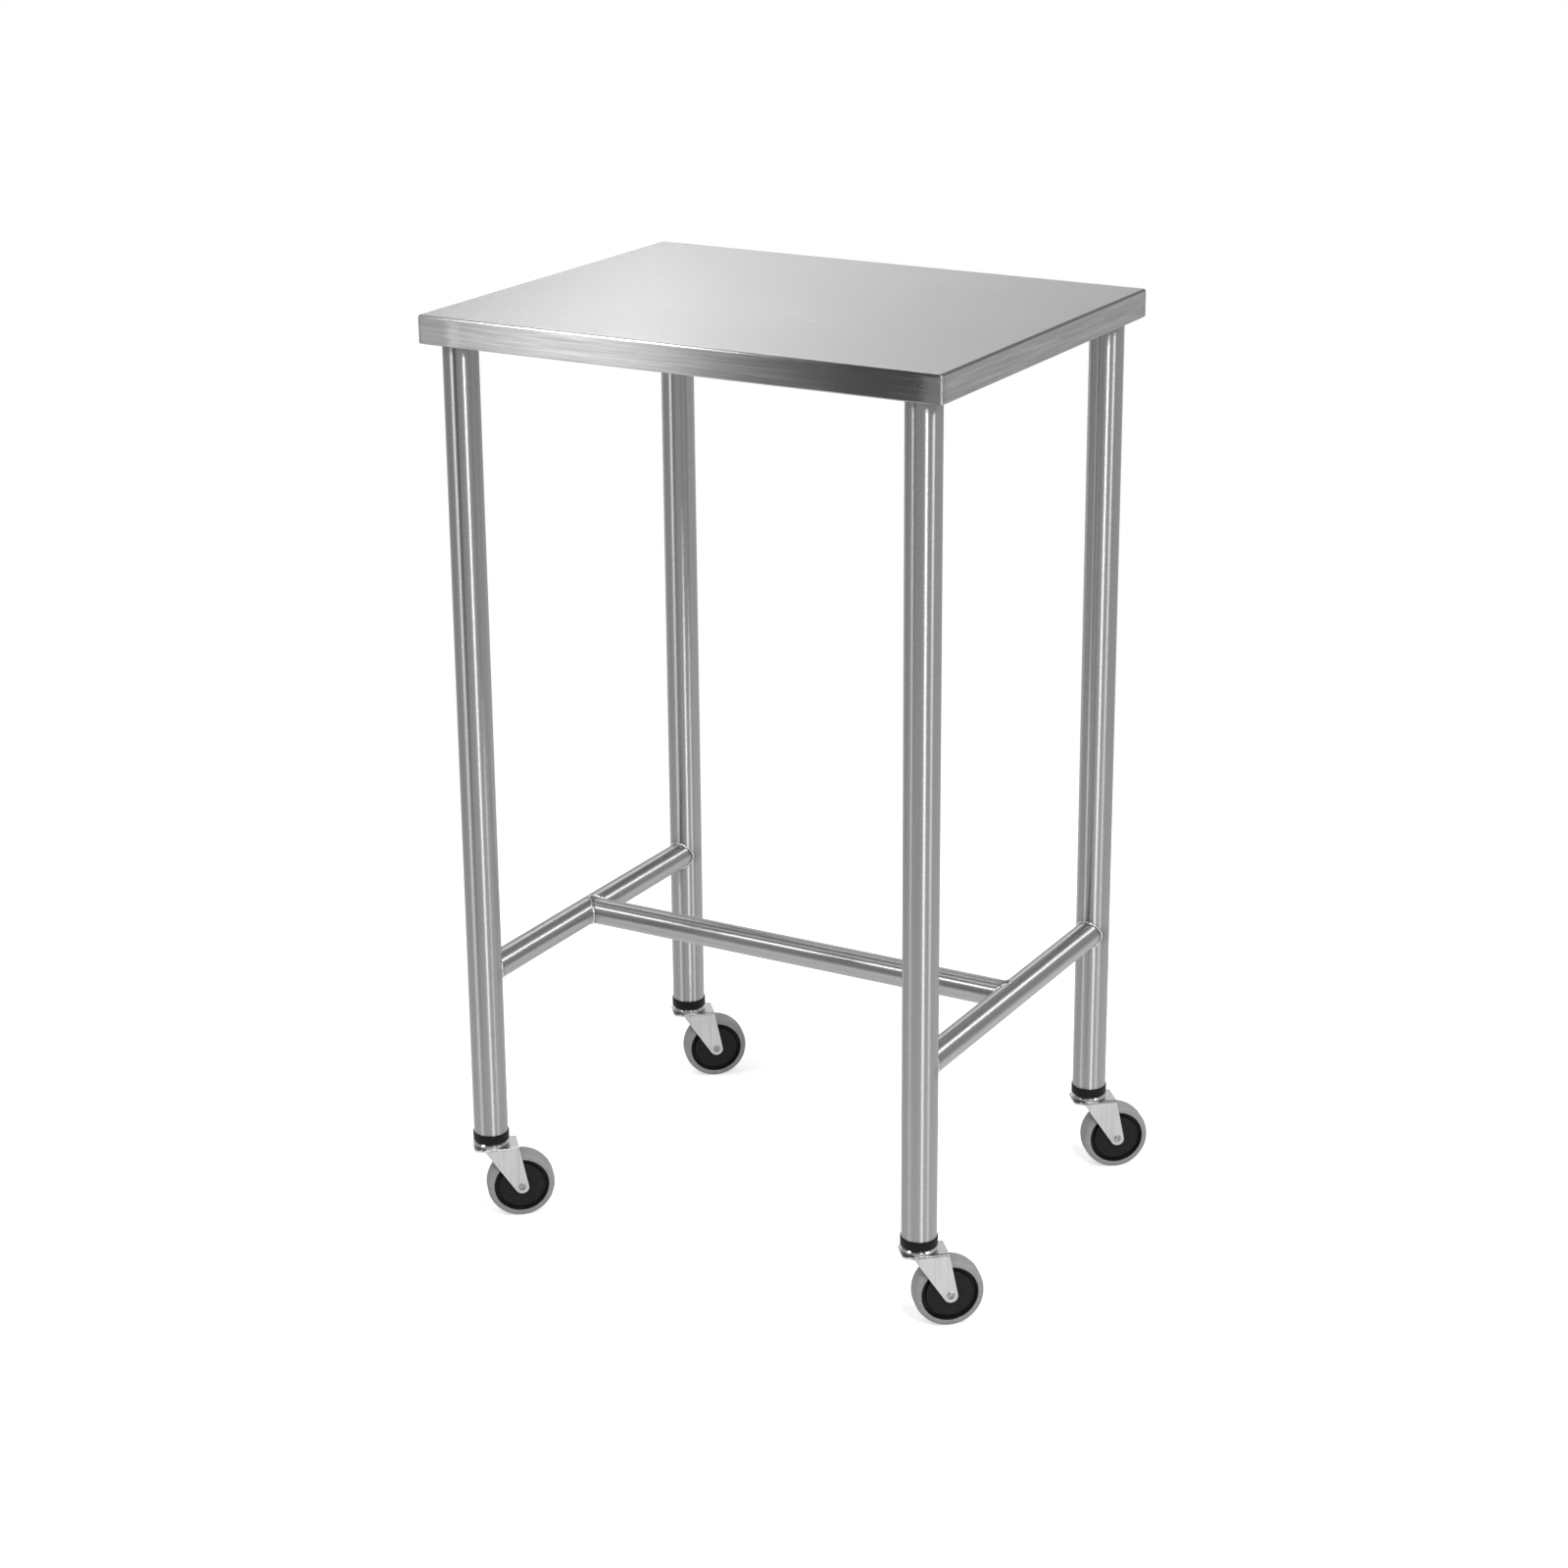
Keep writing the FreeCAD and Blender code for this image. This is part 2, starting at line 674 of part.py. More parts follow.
def draw_fork_side(sketch):
    """What is trimmed off the arch: a box round the side view of crown and legs."""
    above = f"crown_top + {SPILL}"
    behind = f"-(crown_back + {SPILL})"
    beyond = f"crown_back + caster_trail + fork_tip_radius + {SPILL}"
    draw_box(sketch, f"2 * ({behind})", beyond, f"-{SPILL}", f"crown_top + 2 * {SPILL}")
    corners = [
        ("-fork_leg_back", "crown_under"),
        (behind, "crown_under"),
        (behind, above),
        ("crown_front", above),
        ("crown_front", "crown_under"),
    ]
    points = [FreeCAD.Vector(number(across), number(up), 0) for across, up in corners]
    axle = FreeCAD.Vector(number("caster_trail"), number("wheel_radius"), 0)
    back_touch = touching_point(points[0], axle, number("fork_tip_radius"), -1)
    front_touch = touching_point(points[-1], axle, number("fork_tip_radius"), 1)
    first = sketch.GeometryCount
    path = [back_touch] + points + [front_touch]
    for start, end in zip(path, path[1:]):
        sketch.addGeometry(Part.LineSegment(start, end))
    circle = Part.Circle(axle, FreeCAD.Vector(0, 0, 1), number("fork_tip_radius"))
    ends = [circle.parameter(point) for point in (back_touch, front_touch)]
    arc = sketch.addGeometry(Part.ArcOfCircle(circle, ends[0], ends[1]))
    for line in range(first, arc - 1):
        sketch.addConstraint(Sketcher.Constraint("Coincident", line, 2, line + 1, 1))
    for step, (across, up) in enumerate(corners):
        pin_point(sketch, first + step, 2, across, up)
    sketch.addConstraint(Sketcher.Constraint("Tangent", arc, 1, first, 1))
    sketch.addConstraint(Sketcher.Constraint("Tangent", arc, 2, arc - 1, 2))
    dimension(sketch, "Radius", (arc,), "fork_tip_radius")
    pin_point(sketch, arc, 3, "caster_trail", "wheel_radius")


def touching_point(point, centre, radius, side):
    """Where the line from a point touches a circle; side picks one of the two touching lines."""
    away = point - centre
    along = radius * radius / away.Length
    off = side * (radius * radius - along * along) ** 0.5
    away.normalize()
    square = FreeCAD.Vector(away.y, -away.x, 0)
    return centre + away * along + square * off


# The whole table


def build():
    """Make every piece."""
    fill_sheet()
    make_tabletop()
    for side in SIDES:
        make_end_channel(side)
    make_centre_stiffener()
    for corner in CORNERS:
        make_leg(corner)
    for side in SIDES:
        make_side_rail(side)
    make_cross_rail()
    make_sockets()
    make_stems()
    make_race_cups()
    make_thrust_washers()
    for corner in CORNERS:
        make_fork(corner)
        make_axle(corner)
        make_axle_sleeve(corner)
        make_hub(corner)
        make_tyre(corner)
    document.recompute()


def check():
    """Stop if any object failed or any piece isn't a sound solid."""
    for item in document.Objects:
        if {"Invalid", "Error"} & set(item.State):
            raise ValueError(f"{item.Label} failed: {item.State}")
    for body in nodes:
        if body.Shape.isNull() or not body.Shape.isValid() or not body.Shape.Solids:
            raise ValueError(f"{body.Label} has no sound solid")


def write():
    """Write each piece to a file named after it."""
    os.makedirs("parts", exist_ok=True)
    for body in nodes:
        body.Shape.exportStep(f"parts/{body.Label}.step")
        print(body.Label, len(body.Shape.Solids), round(body.Shape.Volume))


build()
check()
write()
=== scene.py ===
# %% [markdown]
# Dressing an instrument table
#
# This lesson takes a small stainless instrument table, whose solids already have their real sizes and
# places, and gives it the look of the real product: brushed sheet and tube, rippled weld beads, plated
# pressings, moulded hubs and grey rubber tyres. The frame's origin is the middle of the work surface,
# +X runs along the long side, +Z is up, and everything in Blender is in metres. Places from the frame
# and the studio's sizes are written in metres too. The pieces' own sizes are in millimetres, and MM
# turns them into metres where a mesh is made.

import json
import math

import bmesh
import bpy
from mathutils import Matrix, Vector


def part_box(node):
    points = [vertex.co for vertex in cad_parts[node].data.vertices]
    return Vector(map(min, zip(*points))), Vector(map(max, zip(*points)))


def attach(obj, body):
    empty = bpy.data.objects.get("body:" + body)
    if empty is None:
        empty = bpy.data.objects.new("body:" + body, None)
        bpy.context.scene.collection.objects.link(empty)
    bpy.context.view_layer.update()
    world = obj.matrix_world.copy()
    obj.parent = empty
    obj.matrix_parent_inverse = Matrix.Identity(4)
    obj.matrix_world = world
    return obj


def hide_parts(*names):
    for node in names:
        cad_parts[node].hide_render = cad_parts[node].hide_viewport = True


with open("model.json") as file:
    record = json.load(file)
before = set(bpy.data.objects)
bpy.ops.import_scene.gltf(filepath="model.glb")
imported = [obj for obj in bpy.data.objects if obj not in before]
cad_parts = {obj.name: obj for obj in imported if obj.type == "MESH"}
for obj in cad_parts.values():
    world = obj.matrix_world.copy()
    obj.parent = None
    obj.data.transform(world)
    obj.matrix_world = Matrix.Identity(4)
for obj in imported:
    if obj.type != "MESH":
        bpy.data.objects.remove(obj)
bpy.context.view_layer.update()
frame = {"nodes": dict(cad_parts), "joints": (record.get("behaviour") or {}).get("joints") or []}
MM = 0.001
CORNERS = ("front_left", "front_right", "back_left", "back_right")

# %% [markdown]
# Working by operator
#
# The modelling operators act on whatever is selected, and the loaded solids arrive selected. So every
# step starts by deselecting everything and making one piece active. Faces and edges are then picked in
# code, by where their middle lies, which is the scripted form of clicking on them.

# %% Helpers for selecting and editing one piece
def select_nothing():
    """Clears the selection, so that the next operator acts on its own new piece only."""
    bpy.ops.object.select_all(action="DESELECT")


def work_on(piece):
    """Makes this piece the only one that operators act on."""
    if bpy.context.mode != "OBJECT":
        bpy.ops.object.mode_set(mode="OBJECT")
    select_nothing()
    piece.select_set(True)
    bpy.context.view_layer.objects.active = piece


def named_piece(name):
    """Names the piece that the last operator made."""
    piece = bpy.context.object
    piece.name = name
    return piece


# %% [markdown]
# Camera
#
# The photograph was taken a little above the work surface, from the front right, with a moderately long
# lens. A camera could be turned by eye until the picture fits. Here its place, turn, tilt and lens are
# the ones that were fitted to the table's edges, and a small shift of the lens puts the table where it
# lies in the picture without turning the upright lines.

# %% Camera at the photograph's angle
PICTURE = 1600
SENSOR = 36.0
FOCAL_PIXELS = 3362.0
PICTURE_CENTRE = (878.8, 745.3)
CAMERA_PLACE = (1.4096, -2.4976, 0.5653)
CAMERA_TURN = math.radians(28.17)
CAMERA_TILT = math.radians(18.574)

select_nothing()
bpy.ops.object.camera_add(location=CAMERA_PLACE, rotation=(math.pi / 2 - CAMERA_TILT, 0, CAMERA_TURN))
camera = named_piece("camera")
camera.data.sensor_width = SENSOR
camera.data.lens = FOCAL_PIXELS / PICTURE * SENSOR
camera.data.shift_x = (PICTURE / 2 - PICTURE_CENTRE[0]) / PICTURE
camera.data.shift_y = (PICTURE_CENTRE[1] - PICTURE / 2) / PICTURE
bpy.context.scene.camera = camera
bpy.context.scene.view_settings.view_transform = "Standard"
print(f"lens {camera.data.lens:.1f} mm")

# %% [markdown]
# Working with nodes
#
# The world, the studio's cards, the floor and every finish are trees of nodes. They could be wired by
# hand in the shader editor. A few helpers do it in code instead, so that a tree reads like a line of
# arithmetic: a value goes in, a step is done with it, and the result goes on to the next helper.

# %% Helpers for building node trees
def empty_tree(owner):
    """The node tree of a material or a world, cleared for new nodes."""
    owner.use_nodes = True
    owner.node_tree.nodes.clear()
    return owner.node_tree


def node(tree, kind, at, **settings):
    """Adds a node, sets its properties and returns it."""
    made = tree.nodes.new(kind)
    made.location = at
    for key, value in settings.items():
        setattr(made, key, value)
    return made


def feed(tree, socket, value):
    """Links an output to a socket, or writes a plain number or colour there."""
    if isinstance(value, (int, float, tuple)):
        socket.default_value = value
    else:
        tree.links.new(value, socket)


def maths(tree, operation, first, second=0.0):
    """One arithmetic step between two values, each an output or a number."""
    step = node(tree, "ShaderNodeMath", (-500, -200), operation=operation)
    for socket, value in zip(step.inputs, (first, second)):
        feed(tree, socket, value)
    return step.outputs[0]


def ranged(tree, value, low, high, from_low=0.3, from_high=0.7, **settings):
    """Maps a value to a new range and holds it there; plain noise lies between 0.3 and 0.7."""
    spread = node(tree, "ShaderNodeMapRange", (-300, 0), **settings)
    limits = {"From Min": from_low, "From Max": from_high, "To Min": low, "To Max": high}
    for name, number in limits.items():
        spread.inputs[name].default_value = number
    tree.links.new(value, spread.inputs["Value"])
    return spread.outputs[0]


def place_in(tree):
    """The point of the surface, in metres from the middle of the work surface."""
    return node(tree, "ShaderNodeTexCoord", (-1400, 0)).outputs["Object"]


def shown_by(tree, shader, output="ShaderNodeOutputMaterial"):
    """Ends a tree: the output node shows this shader."""
    out = node(tree, output, (1200, 0))
    tree.links.new(shader, out.inputs["Surface"])


# %% [markdown]
# Studio
#
# Bare metal shows its surroundings more than its own colour, so the studio is half of the finish. The
# backdrop is white, to the camera and in every reflection, but the light that it throws on the table is
# softer. A white screen with lamps of its own could do that. The world's background is simpler, because
# its nodes can ask what kind of ray has met it.

# %% White world
WORLD_LIGHT = 0.55
WHITE = (1, 1, 1, 1)


def white_to_camera_and_gloss(tree):
    """One where a ray comes from the camera or from a reflection, and zero for soft light."""
    path = node(tree, "ShaderNodeLightPath", (-900, 0)).outputs
    seen = maths(tree, "MAXIMUM", path["Is Camera Ray"], path["Is Glossy Ray"])
    return maths(tree, "MAXIMUM", seen, path["Is Transmission Ray"])


def backdrop(tree, strength):
    """An even white background of this strength."""
    made = node(tree, "ShaderNodeBackground", (200, 0))
    made.inputs["Color"].default_value = WHITE
    made.inputs["Strength"].default_value = strength
    return made.outputs[0]


def mixed(tree, factor, first, second):
    """Goes from the first shader to the second by a factor."""
    mix = node(tree, "ShaderNodeMixShader", (420, 0))
    for socket, value in zip(mix.inputs, (factor, first, second)):
        tree.links.new(value, socket)
    return mix.outputs[0]


def make_world():
    """White where it is seen, and a softer white as light."""
    world = bpy.data.worlds.new("studio")
    tree = empty_tree(world)
    both = mixed(tree, white_to_camera_and_gloss(tree), backdrop(tree, WORLD_LIGHT), backdrop(tree, 1.0))
    shown_by(tree, both, "ShaderNodeOutputWorld")
    bpy.context.scene.world = world


make_world()
print(f"world: white to the eye, {WORLD_LIGHT} as light")

# %% [markdown]
# Studio cards
#
# Grey walls, a dark ceiling and a dark card give the tubes and the aprons their darker bands. Real
# walls would need lamps of their own to look even, and would throw light back. These are cards that
# glow in an even grey and are hidden from the camera, from soft light and from shadows, so that they
# show in metal only.

# %% Cards that only reflections see
def glow(name, level):
    """A card of one even grey, as a reflection sees it."""
    material = bpy.data.materials.new(name)
    tree = empty_tree(material)
    shade = node(tree, "ShaderNodeEmission", (0, 0))
    shade.inputs["Color"].default_value = (level, level, level, 1)
    shown_by(tree, shade.outputs[0])
    return material


def only_in_reflections(card):
    """A studio card that metal reflects, but that lights nothing and hides nothing."""
    card.visible_camera = False
    card.visible_diffuse = False
    card.visible_shadow = False
    card.visible_transmission = False


# %% [markdown]
# Walls and ceiling
#
# Grey walls stand left, right and in front, where the camera cannot see them. The wall behind on the
# right is lighter, because the tubes stay light along their right edges, and the ceiling is nearly
# black. Flat walls would do too, but their corners would show as lines in the metal, so one ring of
# wall goes round the table and is left open behind it.

# %% Grey walls and a dark ceiling
WALL_GREY = 0.38
BACK_WALL_GREY = 0.66
CEILING_GREY = 0.10
WALL_DISTANCE = 3.4
WALL_HEIGHT = 5.0
WALL_SIDES = 90
CEILING_HEIGHT = 3.0
WALL_OPENING = (-82.0, 14.0)
BACK_WALL_END = 75.0


def floor_height():
    """The floor lies under the lowest tyre."""
    return min(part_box(f"tyre_{corner}")[0].z for corner in CORNERS)


def studio_walls():
    """A ring of wall round the table: open behind it, lighter behind on the right, grey elsewhere."""
    select_nothing()
    bpy.ops.mesh.primitive_cylinder_add(vertices=WALL_SIDES, radius=WALL_DISTANCE, depth=WALL_HEIGHT,
                                        end_fill_type="NOTHING", location=(0, 0, FLOOR + WALL_HEIGHT / 2))
    wall = named_piece("studio_walls")
    opening = [math.radians(angle) for angle in WALL_OPENING]
    mesh = bmesh.new()
    mesh.from_mesh(wall.data)
    behind = []
    for face in mesh.faces:
        middle = face.calc_center_median()
        angle = math.atan2(middle.x, middle.y)
        face.material_index = int(opening[1] < angle < math.radians(BACK_WALL_END))
        if opening[0] < angle < opening[1]:
            behind.append(face)
    bmesh.ops.delete(mesh, geom=behind, context="FACES")
    mesh.to_mesh(wall.data)
    mesh.free()
    wall.data.materials.append(glow("wall_grey", WALL_GREY))
    wall.data.materials.append(glow("back_wall_grey", BACK_WALL_GREY))
    only_in_reflections(wall)


def studio_ceiling():
    """A round dark ceiling, which keeps the tops of the rails from going white."""
    bpy.ops.mesh.primitive_circle_add(vertices=WALL_SIDES, radius=WALL_DISTANCE, fill_type="NGON",
                                      location=(0, 0, CEILING_HEIGHT))
    ceiling = named_piece("studio_ceiling")
    ceiling.data.materials.append(glow("ceiling_grey", CEILING_GREY))
    only_in_reflections(ceiling)


FLOOR = floor_height()
studio_walls()
studio_ceiling()
print(f"walls {WALL_DISTANCE} m away, open behind the table")

# %% [markdown]
# Lamps
#
# Each lamp has one task. The near, left and side lamps are small and bright, and draw the bright lines
# on the tubes. The panel in front on the left fills the broad light band of the front apron, the
# hanging panel behind lights the work surface, and a large soft one above evens out the rest. Point
# lights would do for soft surfaces, but a polished tube shows the lamp's own width, so each is a
# rectangle with a real size.

# %% Six lamps
LAMP_WARMTH = (1.0, 0.98, 0.96)
TABLE_MIDDLE = (0, 0, -0.35)


def lamp(name, at, towards, size, radiance, colour=(1, 1, 1)):
    """A rectangular lamp whose face has this brightness, whatever its size."""
    light = bpy.data.lights.new(name, "AREA")
    light.shape = "RECTANGLE"
    light.size, light.size_y = size
    light.energy = radiance * math.pi * size[0] * size[1]
    light.color = colour
    holder = bpy.data.objects.new(name, light)
    bpy.context.scene.collection.objects.link(holder)
    holder.location = at
    aim = Vector(towards) - Vector(at)
    holder.rotation_euler = aim.to_track_quat("-Z", "Y").to_euler()


def around(turn, rise, distance, centre=TABLE_MIDDLE):
    """A point seen from the table at this turn from the front towards the right, and this rise."""
    turn, rise = math.radians(turn), math.radians(rise)
    step = Vector((math.sin(turn) * math.cos(rise), -math.cos(turn) * math.cos(rise), math.sin(rise)))
    return Vector(centre) + distance * step


lamp("front_left_panel", (-1.21, -2.06, 0.0), (0, 0, -0.2), (0.50, 1.8), 1.15)
lamp("near_lamp", around(46, 34, 2.7), TABLE_MIDDLE, (0.18, 0.7), 96.0, LAMP_WARMTH)
lamp("left_lamp", (-1.22, -1.52, 1.25), (0, 0, -0.5), (0.30, 0.36), 42.0, LAMP_WARMTH)
lamp("side_lamp", (1.95, 0.0, 1.3), (0, 0, -0.5), (0.22, 0.40), 85.0, LAMP_WARMTH)
lamp("back_panel", around(-135, 48, 2.9, (0, 0, 0)), (0, 0, 0), (0.50, 1.9), 4.3)
lamp("top_light", (0.2, -0.2, 2.4), (0, 0, -0.3), (1.6, 1.6), 1.1)

# %% [markdown]
# Dark card
#
# The right half of the front apron is nearly black in the photograph, and the change from the light
# half is soft. A photographer gets that with a black card beside the table. This one is grey on its
# left edge and fades to black, because a card of one grey would show its edge in the metal.

# %% Card that darkens the front apron
CARD_LEFT = (-0.54, -1.10)
CARD_RIGHT = (-0.20, -1.10)
CARD_TOP = 0.85
CARD_GREYS = (0.34, 0.02)
CARD_FADE = 0.65


def fading_glow(name, left_grey, right_grey, reach):
    """Glow that fades evenly from one grey at the left edge to another, at this share of the width."""
    material = glow(name, right_grey)
    tree = material.node_tree
    parts = node(tree, "ShaderNodeSeparateXYZ", (-600, 0))
    tree.links.new(node(tree, "ShaderNodeTexCoord", (-800, 0)).outputs["UV"], parts.inputs[0])
    fade = ranged(tree, parts.outputs["X"], left_grey, right_grey, 0.0, reach)
    tree.links.new(fade, tree.nodes["Emission"].inputs["Color"])
    return material


def dark_card(name, left, right, low, high):
    """A dark card that stands up from the floor between two places, black on its right."""
    select_nothing()
    bpy.ops.mesh.primitive_plane_add(size=1)
    card = named_piece(name)
    spots = [(*left, low), (*right, low), (*left, high), (*right, high)]
    for vertex, spot in zip(card.data.vertices, spots):
        vertex.co = spot
    card.data.materials.append(fading_glow(name, *CARD_GREYS, CARD_FADE))
    only_in_reflections(card)


dark_card("dark_card", CARD_LEFT, CARD_RIGHT, FLOOR, CARD_TOP)
print(f"dark card {CARD_RIGHT[0] - CARD_LEFT[0]:.2f} m wide")

# %% [markdown]
# Floor
#
# The floor is white paper that runs up into the backdrop. A plain white plane would be simpler, but
# under these lamps it would look grey and show where it ends. So near the table the paper takes the
# table's shadow, and further off it turns to the backdrop's even white. The added white is seen by the
# camera and in reflections only, and puts no more light on the table. In metal the floor is a little
# dimmer than to the eye, which keeps the undersides of the tubes grey.

# %% Pale floor that keeps the shadow
FLOOR_RADIUS = 9.0
FLOOR_SIDES = 96
PAPER = 0.62
PAPER_LIFT = 0.55
PAPER_IN_METAL = 0.70
SHADOW_REACH = (0.7, 1.7)


def shine(tree, strength):
    """An even white of this strength, and a little less of it where metal reflects it."""
    in_metal = node(tree, "ShaderNodeLightPath", (-400, 0)).outputs["Is Glossy Ray"]
    made = node(tree, "ShaderNodeEmission", (0, 0))
    made.inputs["Color"].default_value = WHITE
    level = ranged(tree, in_metal, strength, strength * PAPER_IN_METAL, 0.0, 1.0)
    tree.links.new(level, made.inputs["Strength"])
    return made.outputs[0]


def far_away(tree):
    """Rises softly from zero to one over the distances from the table where its shadow ends."""
    reach = node(tree, "ShaderNodeVectorMath", (-700, -600), operation="LENGTH")
    tree.links.new(place_in(tree), reach.inputs[0])
    return ranged(tree, reach.outputs["Value"], 0.0, 1.0, *SHADOW_REACH, interpolation_type="SMOOTHSTEP")


def paper_finish():
    """White paper near the table, and the backdrop's own white further off."""
    material = bpy.data.materials.new("floor_paper")
    tree = empty_tree(material)
    paper = node(tree, "ShaderNodeBsdfDiffuse", (0, 200))
    paper.inputs["Color"].default_value = (PAPER, PAPER, PAPER, 1)
    seen = white_to_camera_and_gloss(tree)
    lifted = node(tree, "ShaderNodeAddShader", (500, 0))
    tree.links.new(paper.outputs[0], lifted.inputs[0])
    tree.links.new(mixed(tree, seen, shine(tree, 0.0), shine(tree, PAPER_LIFT)), lifted.inputs[1])
    beyond = maths(tree, "MULTIPLY", far_away(tree), seen)
    shown_by(tree, mixed(tree, beyond, lifted.outputs[0], shine(tree, 1.0)))
    return material


def make_floor():
    """A wide round sheet of paper under the tyres."""
    select_nothing()
    bpy.ops.mesh.primitive_circle_add(vertices=FLOOR_SIDES, radius=FLOOR_RADIUS, fill_type="NGON",
                                      location=(0, 0, FLOOR))
    floor = named_piece("floor")
    floor.data.materials.append(paper_finish())


make_floor()
print(f"floor at {FLOOR:.4f} m, white beyond {SHADOW_REACH[1]} m")

# %% [markdown]
# Places and helpers for the casters
#
# The four casters are alike and all trail the same way, so each of their pieces is modelled once, at
# the world's origin, and then copied to every corner. A piece could also be parented to an empty at
# each corner, but a finished piece keeps its place in its own mesh, as the loaded solids do. The joints
# say where each caster stands: the swivel's axis is the leg's own, and the roll's axis is the axle.

# %% Axes of each caster and each axle
JOINTS = {joint["name"]: joint for joint in frame["joints"]}
UP = Vector((0, 0, 1))


def axes_at(origin, x_axis, z_axis):
    """The matrix that brings a piece made at the world's origin to a place and a direction."""
    x_axis, z_axis = Vector(x_axis).normalized(), Vector(z_axis).normalized()
    turn = Matrix((x_axis, z_axis.cross(x_axis), z_axis)).transposed()
    return Matrix.Translation(origin) @ turn.to_4x4()


def trail_of(corner):
    """The level direction from the swivel's axis to the wheel."""
    step = Vector(JOINTS[f"roll_{corner}"]["pos_m"]) - Vector(JOINTS[f"swivel_{corner}"]["pos_m"])
    return Vector((step.x, step.y, 0))


def under_leg(corner):
    """A caster's own axes: origin on the floor under the leg, X the way the wheel trails."""
    across, along, _ = JOINTS[f"swivel_{corner}"]["pos_m"]
    return axes_at((across, along, FLOOR), trail_of(corner), UP)


def on_axle(corner):
    """An axle's own axes: origin at the middle of the wheel, Z along the axle."""
    roll = JOINTS[f"roll_{corner}"]
    return axes_at(roll["pos_m"], trail_of(corner), roll["axis"])


TRAIL = trail_of("front_left").length
AXLE_HEIGHT = JOINTS["roll_front_left"]["pos_m"][2] - FLOOR
LEG_X = JOINTS["swivel_front_right"]["pos_m"][0]
LEG_Y = JOINTS["swivel_back_right"]["pos_m"][1]
print(f"trail {TRAIL:.4f} m, axle {AXLE_HEIGHT:.4f} m above the floor")

# %% [markdown]
# Copies
#
# A linked copy would share its mesh with the pattern, and moving the one would move them all. Each copy
# here gets its own mesh, and its place is applied to that mesh, so that its object stays at the world's
# origin as the loaded solids do. The pattern itself is deleted once it has been copied.

# %% Copies with their own mesh
def copy_of(pattern, name, place):
    """A copy whose place is in its mesh, so that its object stays at the world's origin."""
    work_on(pattern)
    bpy.ops.object.duplicate(linked=False)
    piece = named_piece(name)
    piece.data.name = name
    piece.matrix_world = place
    bpy.ops.object.transform_apply(location=True, rotation=True, scale=True)
    return piece


def join_all(pieces, name):
    """Several pieces as one."""
    work_on(pieces[0])
    for piece in pieces:
        piece.select_set(True)
    bpy.ops.object.join()
    pieces[0].name = pieces[0].data.name = name
    return pieces[0]


def discard(pattern):
    """Deletes a piece that has done its work."""
    work_on(pattern)
    bpy.ops.object.delete()


# %% [markdown]
# Four of everything
#
# Every piece is told which body carries it and which loaded solid it stands for.
# The forks, axles, hubs and tyres swivel or roll, so their copies stay apart. The sockets, cups and
# balls belong to the welded frame, and their four copies are joined into one piece. Modelling a piece
# at each corner would give the same, but every change would have to be made four times.

# %% One piece at each caster
def at_each_corner(pattern, name, place, body, slot, *nodes):
    """One copy of the pattern at every caster, each riding its own body and standing for its own node."""
    for corner in CORNERS:
        piece = copy_of(pattern, f"{name}_{corner}", place(corner))
        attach(piece, body.format(corner))
        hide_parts(*[node_name.format(corner) for node_name in nodes])
    faces = len(pattern.data.polygons)
    discard(pattern)
    print(f"{name}: {faces} faces, four copies")


def one_set(pattern, name, place, slot, *nodes):
    """The four copies of the pattern joined into one piece of the welded frame."""
    copies = [copy_of(pattern, f"{name}_{corner}", place(corner)) for corner in CORNERS]
    discard(pattern)
    piece = join_all(copies, name)
    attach(piece, "frame")
    if nodes:
        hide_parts(*nodes)
    print(f"{name}: {len(piece.data.polygons)} faces")
    return piece


# %% [markdown]
# Round pieces
#
# Most of a caster is round: socket, cup, rivet, hub and tyre. A spin of an outline would make them too,
# but extruding one ring after another is the same as turning them on a lathe, and keeps the radius and
# height of every step in plain sight. Real edges are never quite sharp, and catch a thin line of light,
# so each piece has its edges rounded by a bevel, and its flat faces are then kept flat with weighted
# normals.

# %% Turning a piece and rounding its edges
TURNED_SIDES = 96
DOUBLES = 0.001
SMOOTH_UP_TO = 50


def turned(name, outline, sides=TURNED_SIDES, solid=False):
    """Turns a run of (radius, height) pairs in millimetres about Z, one extruded ring after another."""
    select_nothing()
    radius, height = outline[0]
    bpy.ops.mesh.primitive_circle_add(vertices=sides, radius=radius * MM, location=(0, 0, height * MM))
    piece = named_piece(name)
    bpy.ops.object.transform_apply(location=True)
    bpy.ops.object.mode_set(mode="EDIT")
    bpy.ops.mesh.select_all(action="SELECT")
    if solid:
        bpy.ops.mesh.edge_face_add()
        bpy.ops.mesh.select_mode(type="EDGE")
    for next_radius, next_height in outline[1:] if solid else outline[1:] + outline[:1]:
        rise = (0, 0, (next_height - height) * MM)
        bpy.ops.mesh.extrude_edges_move(TRANSFORM_OT_translate={"value": rise})
        grow = next_radius / radius
        bpy.ops.transform.resize(value=(grow, grow, 1), center_override=(0, 0, next_height * MM))
        radius, height = next_radius, next_height
    if solid:
        bpy.ops.mesh.edge_face_add()
    bpy.ops.mesh.select_all(action="SELECT")
    bpy.ops.mesh.remove_doubles(threshold=DOUBLES * MM)
    bpy.ops.mesh.normals_make_consistent(inside=False)
    bpy.ops.object.mode_set(mode="OBJECT")
    return piece


def round_edges(piece, radius, segments=3, sharper_than=28):
    """Rounds every edge that turns more sharply than this, and keeps the flat faces looking flat."""
    work_on(piece)
    rounding = piece.modifiers.new("rounding", "BEVEL")
    rounding.width = radius * MM
    rounding.segments = segments
    rounding.limit_method = "ANGLE"
    rounding.angle_limit = math.radians(sharper_than)
    bpy.ops.object.modifier_apply(modifier="rounding")
    bpy.ops.object.shade_smooth_by_angle(angle=math.radians(SMOOTH_UP_TO))
    level = piece.modifiers.new("level", "WEIGHTED_NORMAL")
    level.keep_sharp = True
    bpy.ops.object.modifier_apply(modifier="level")


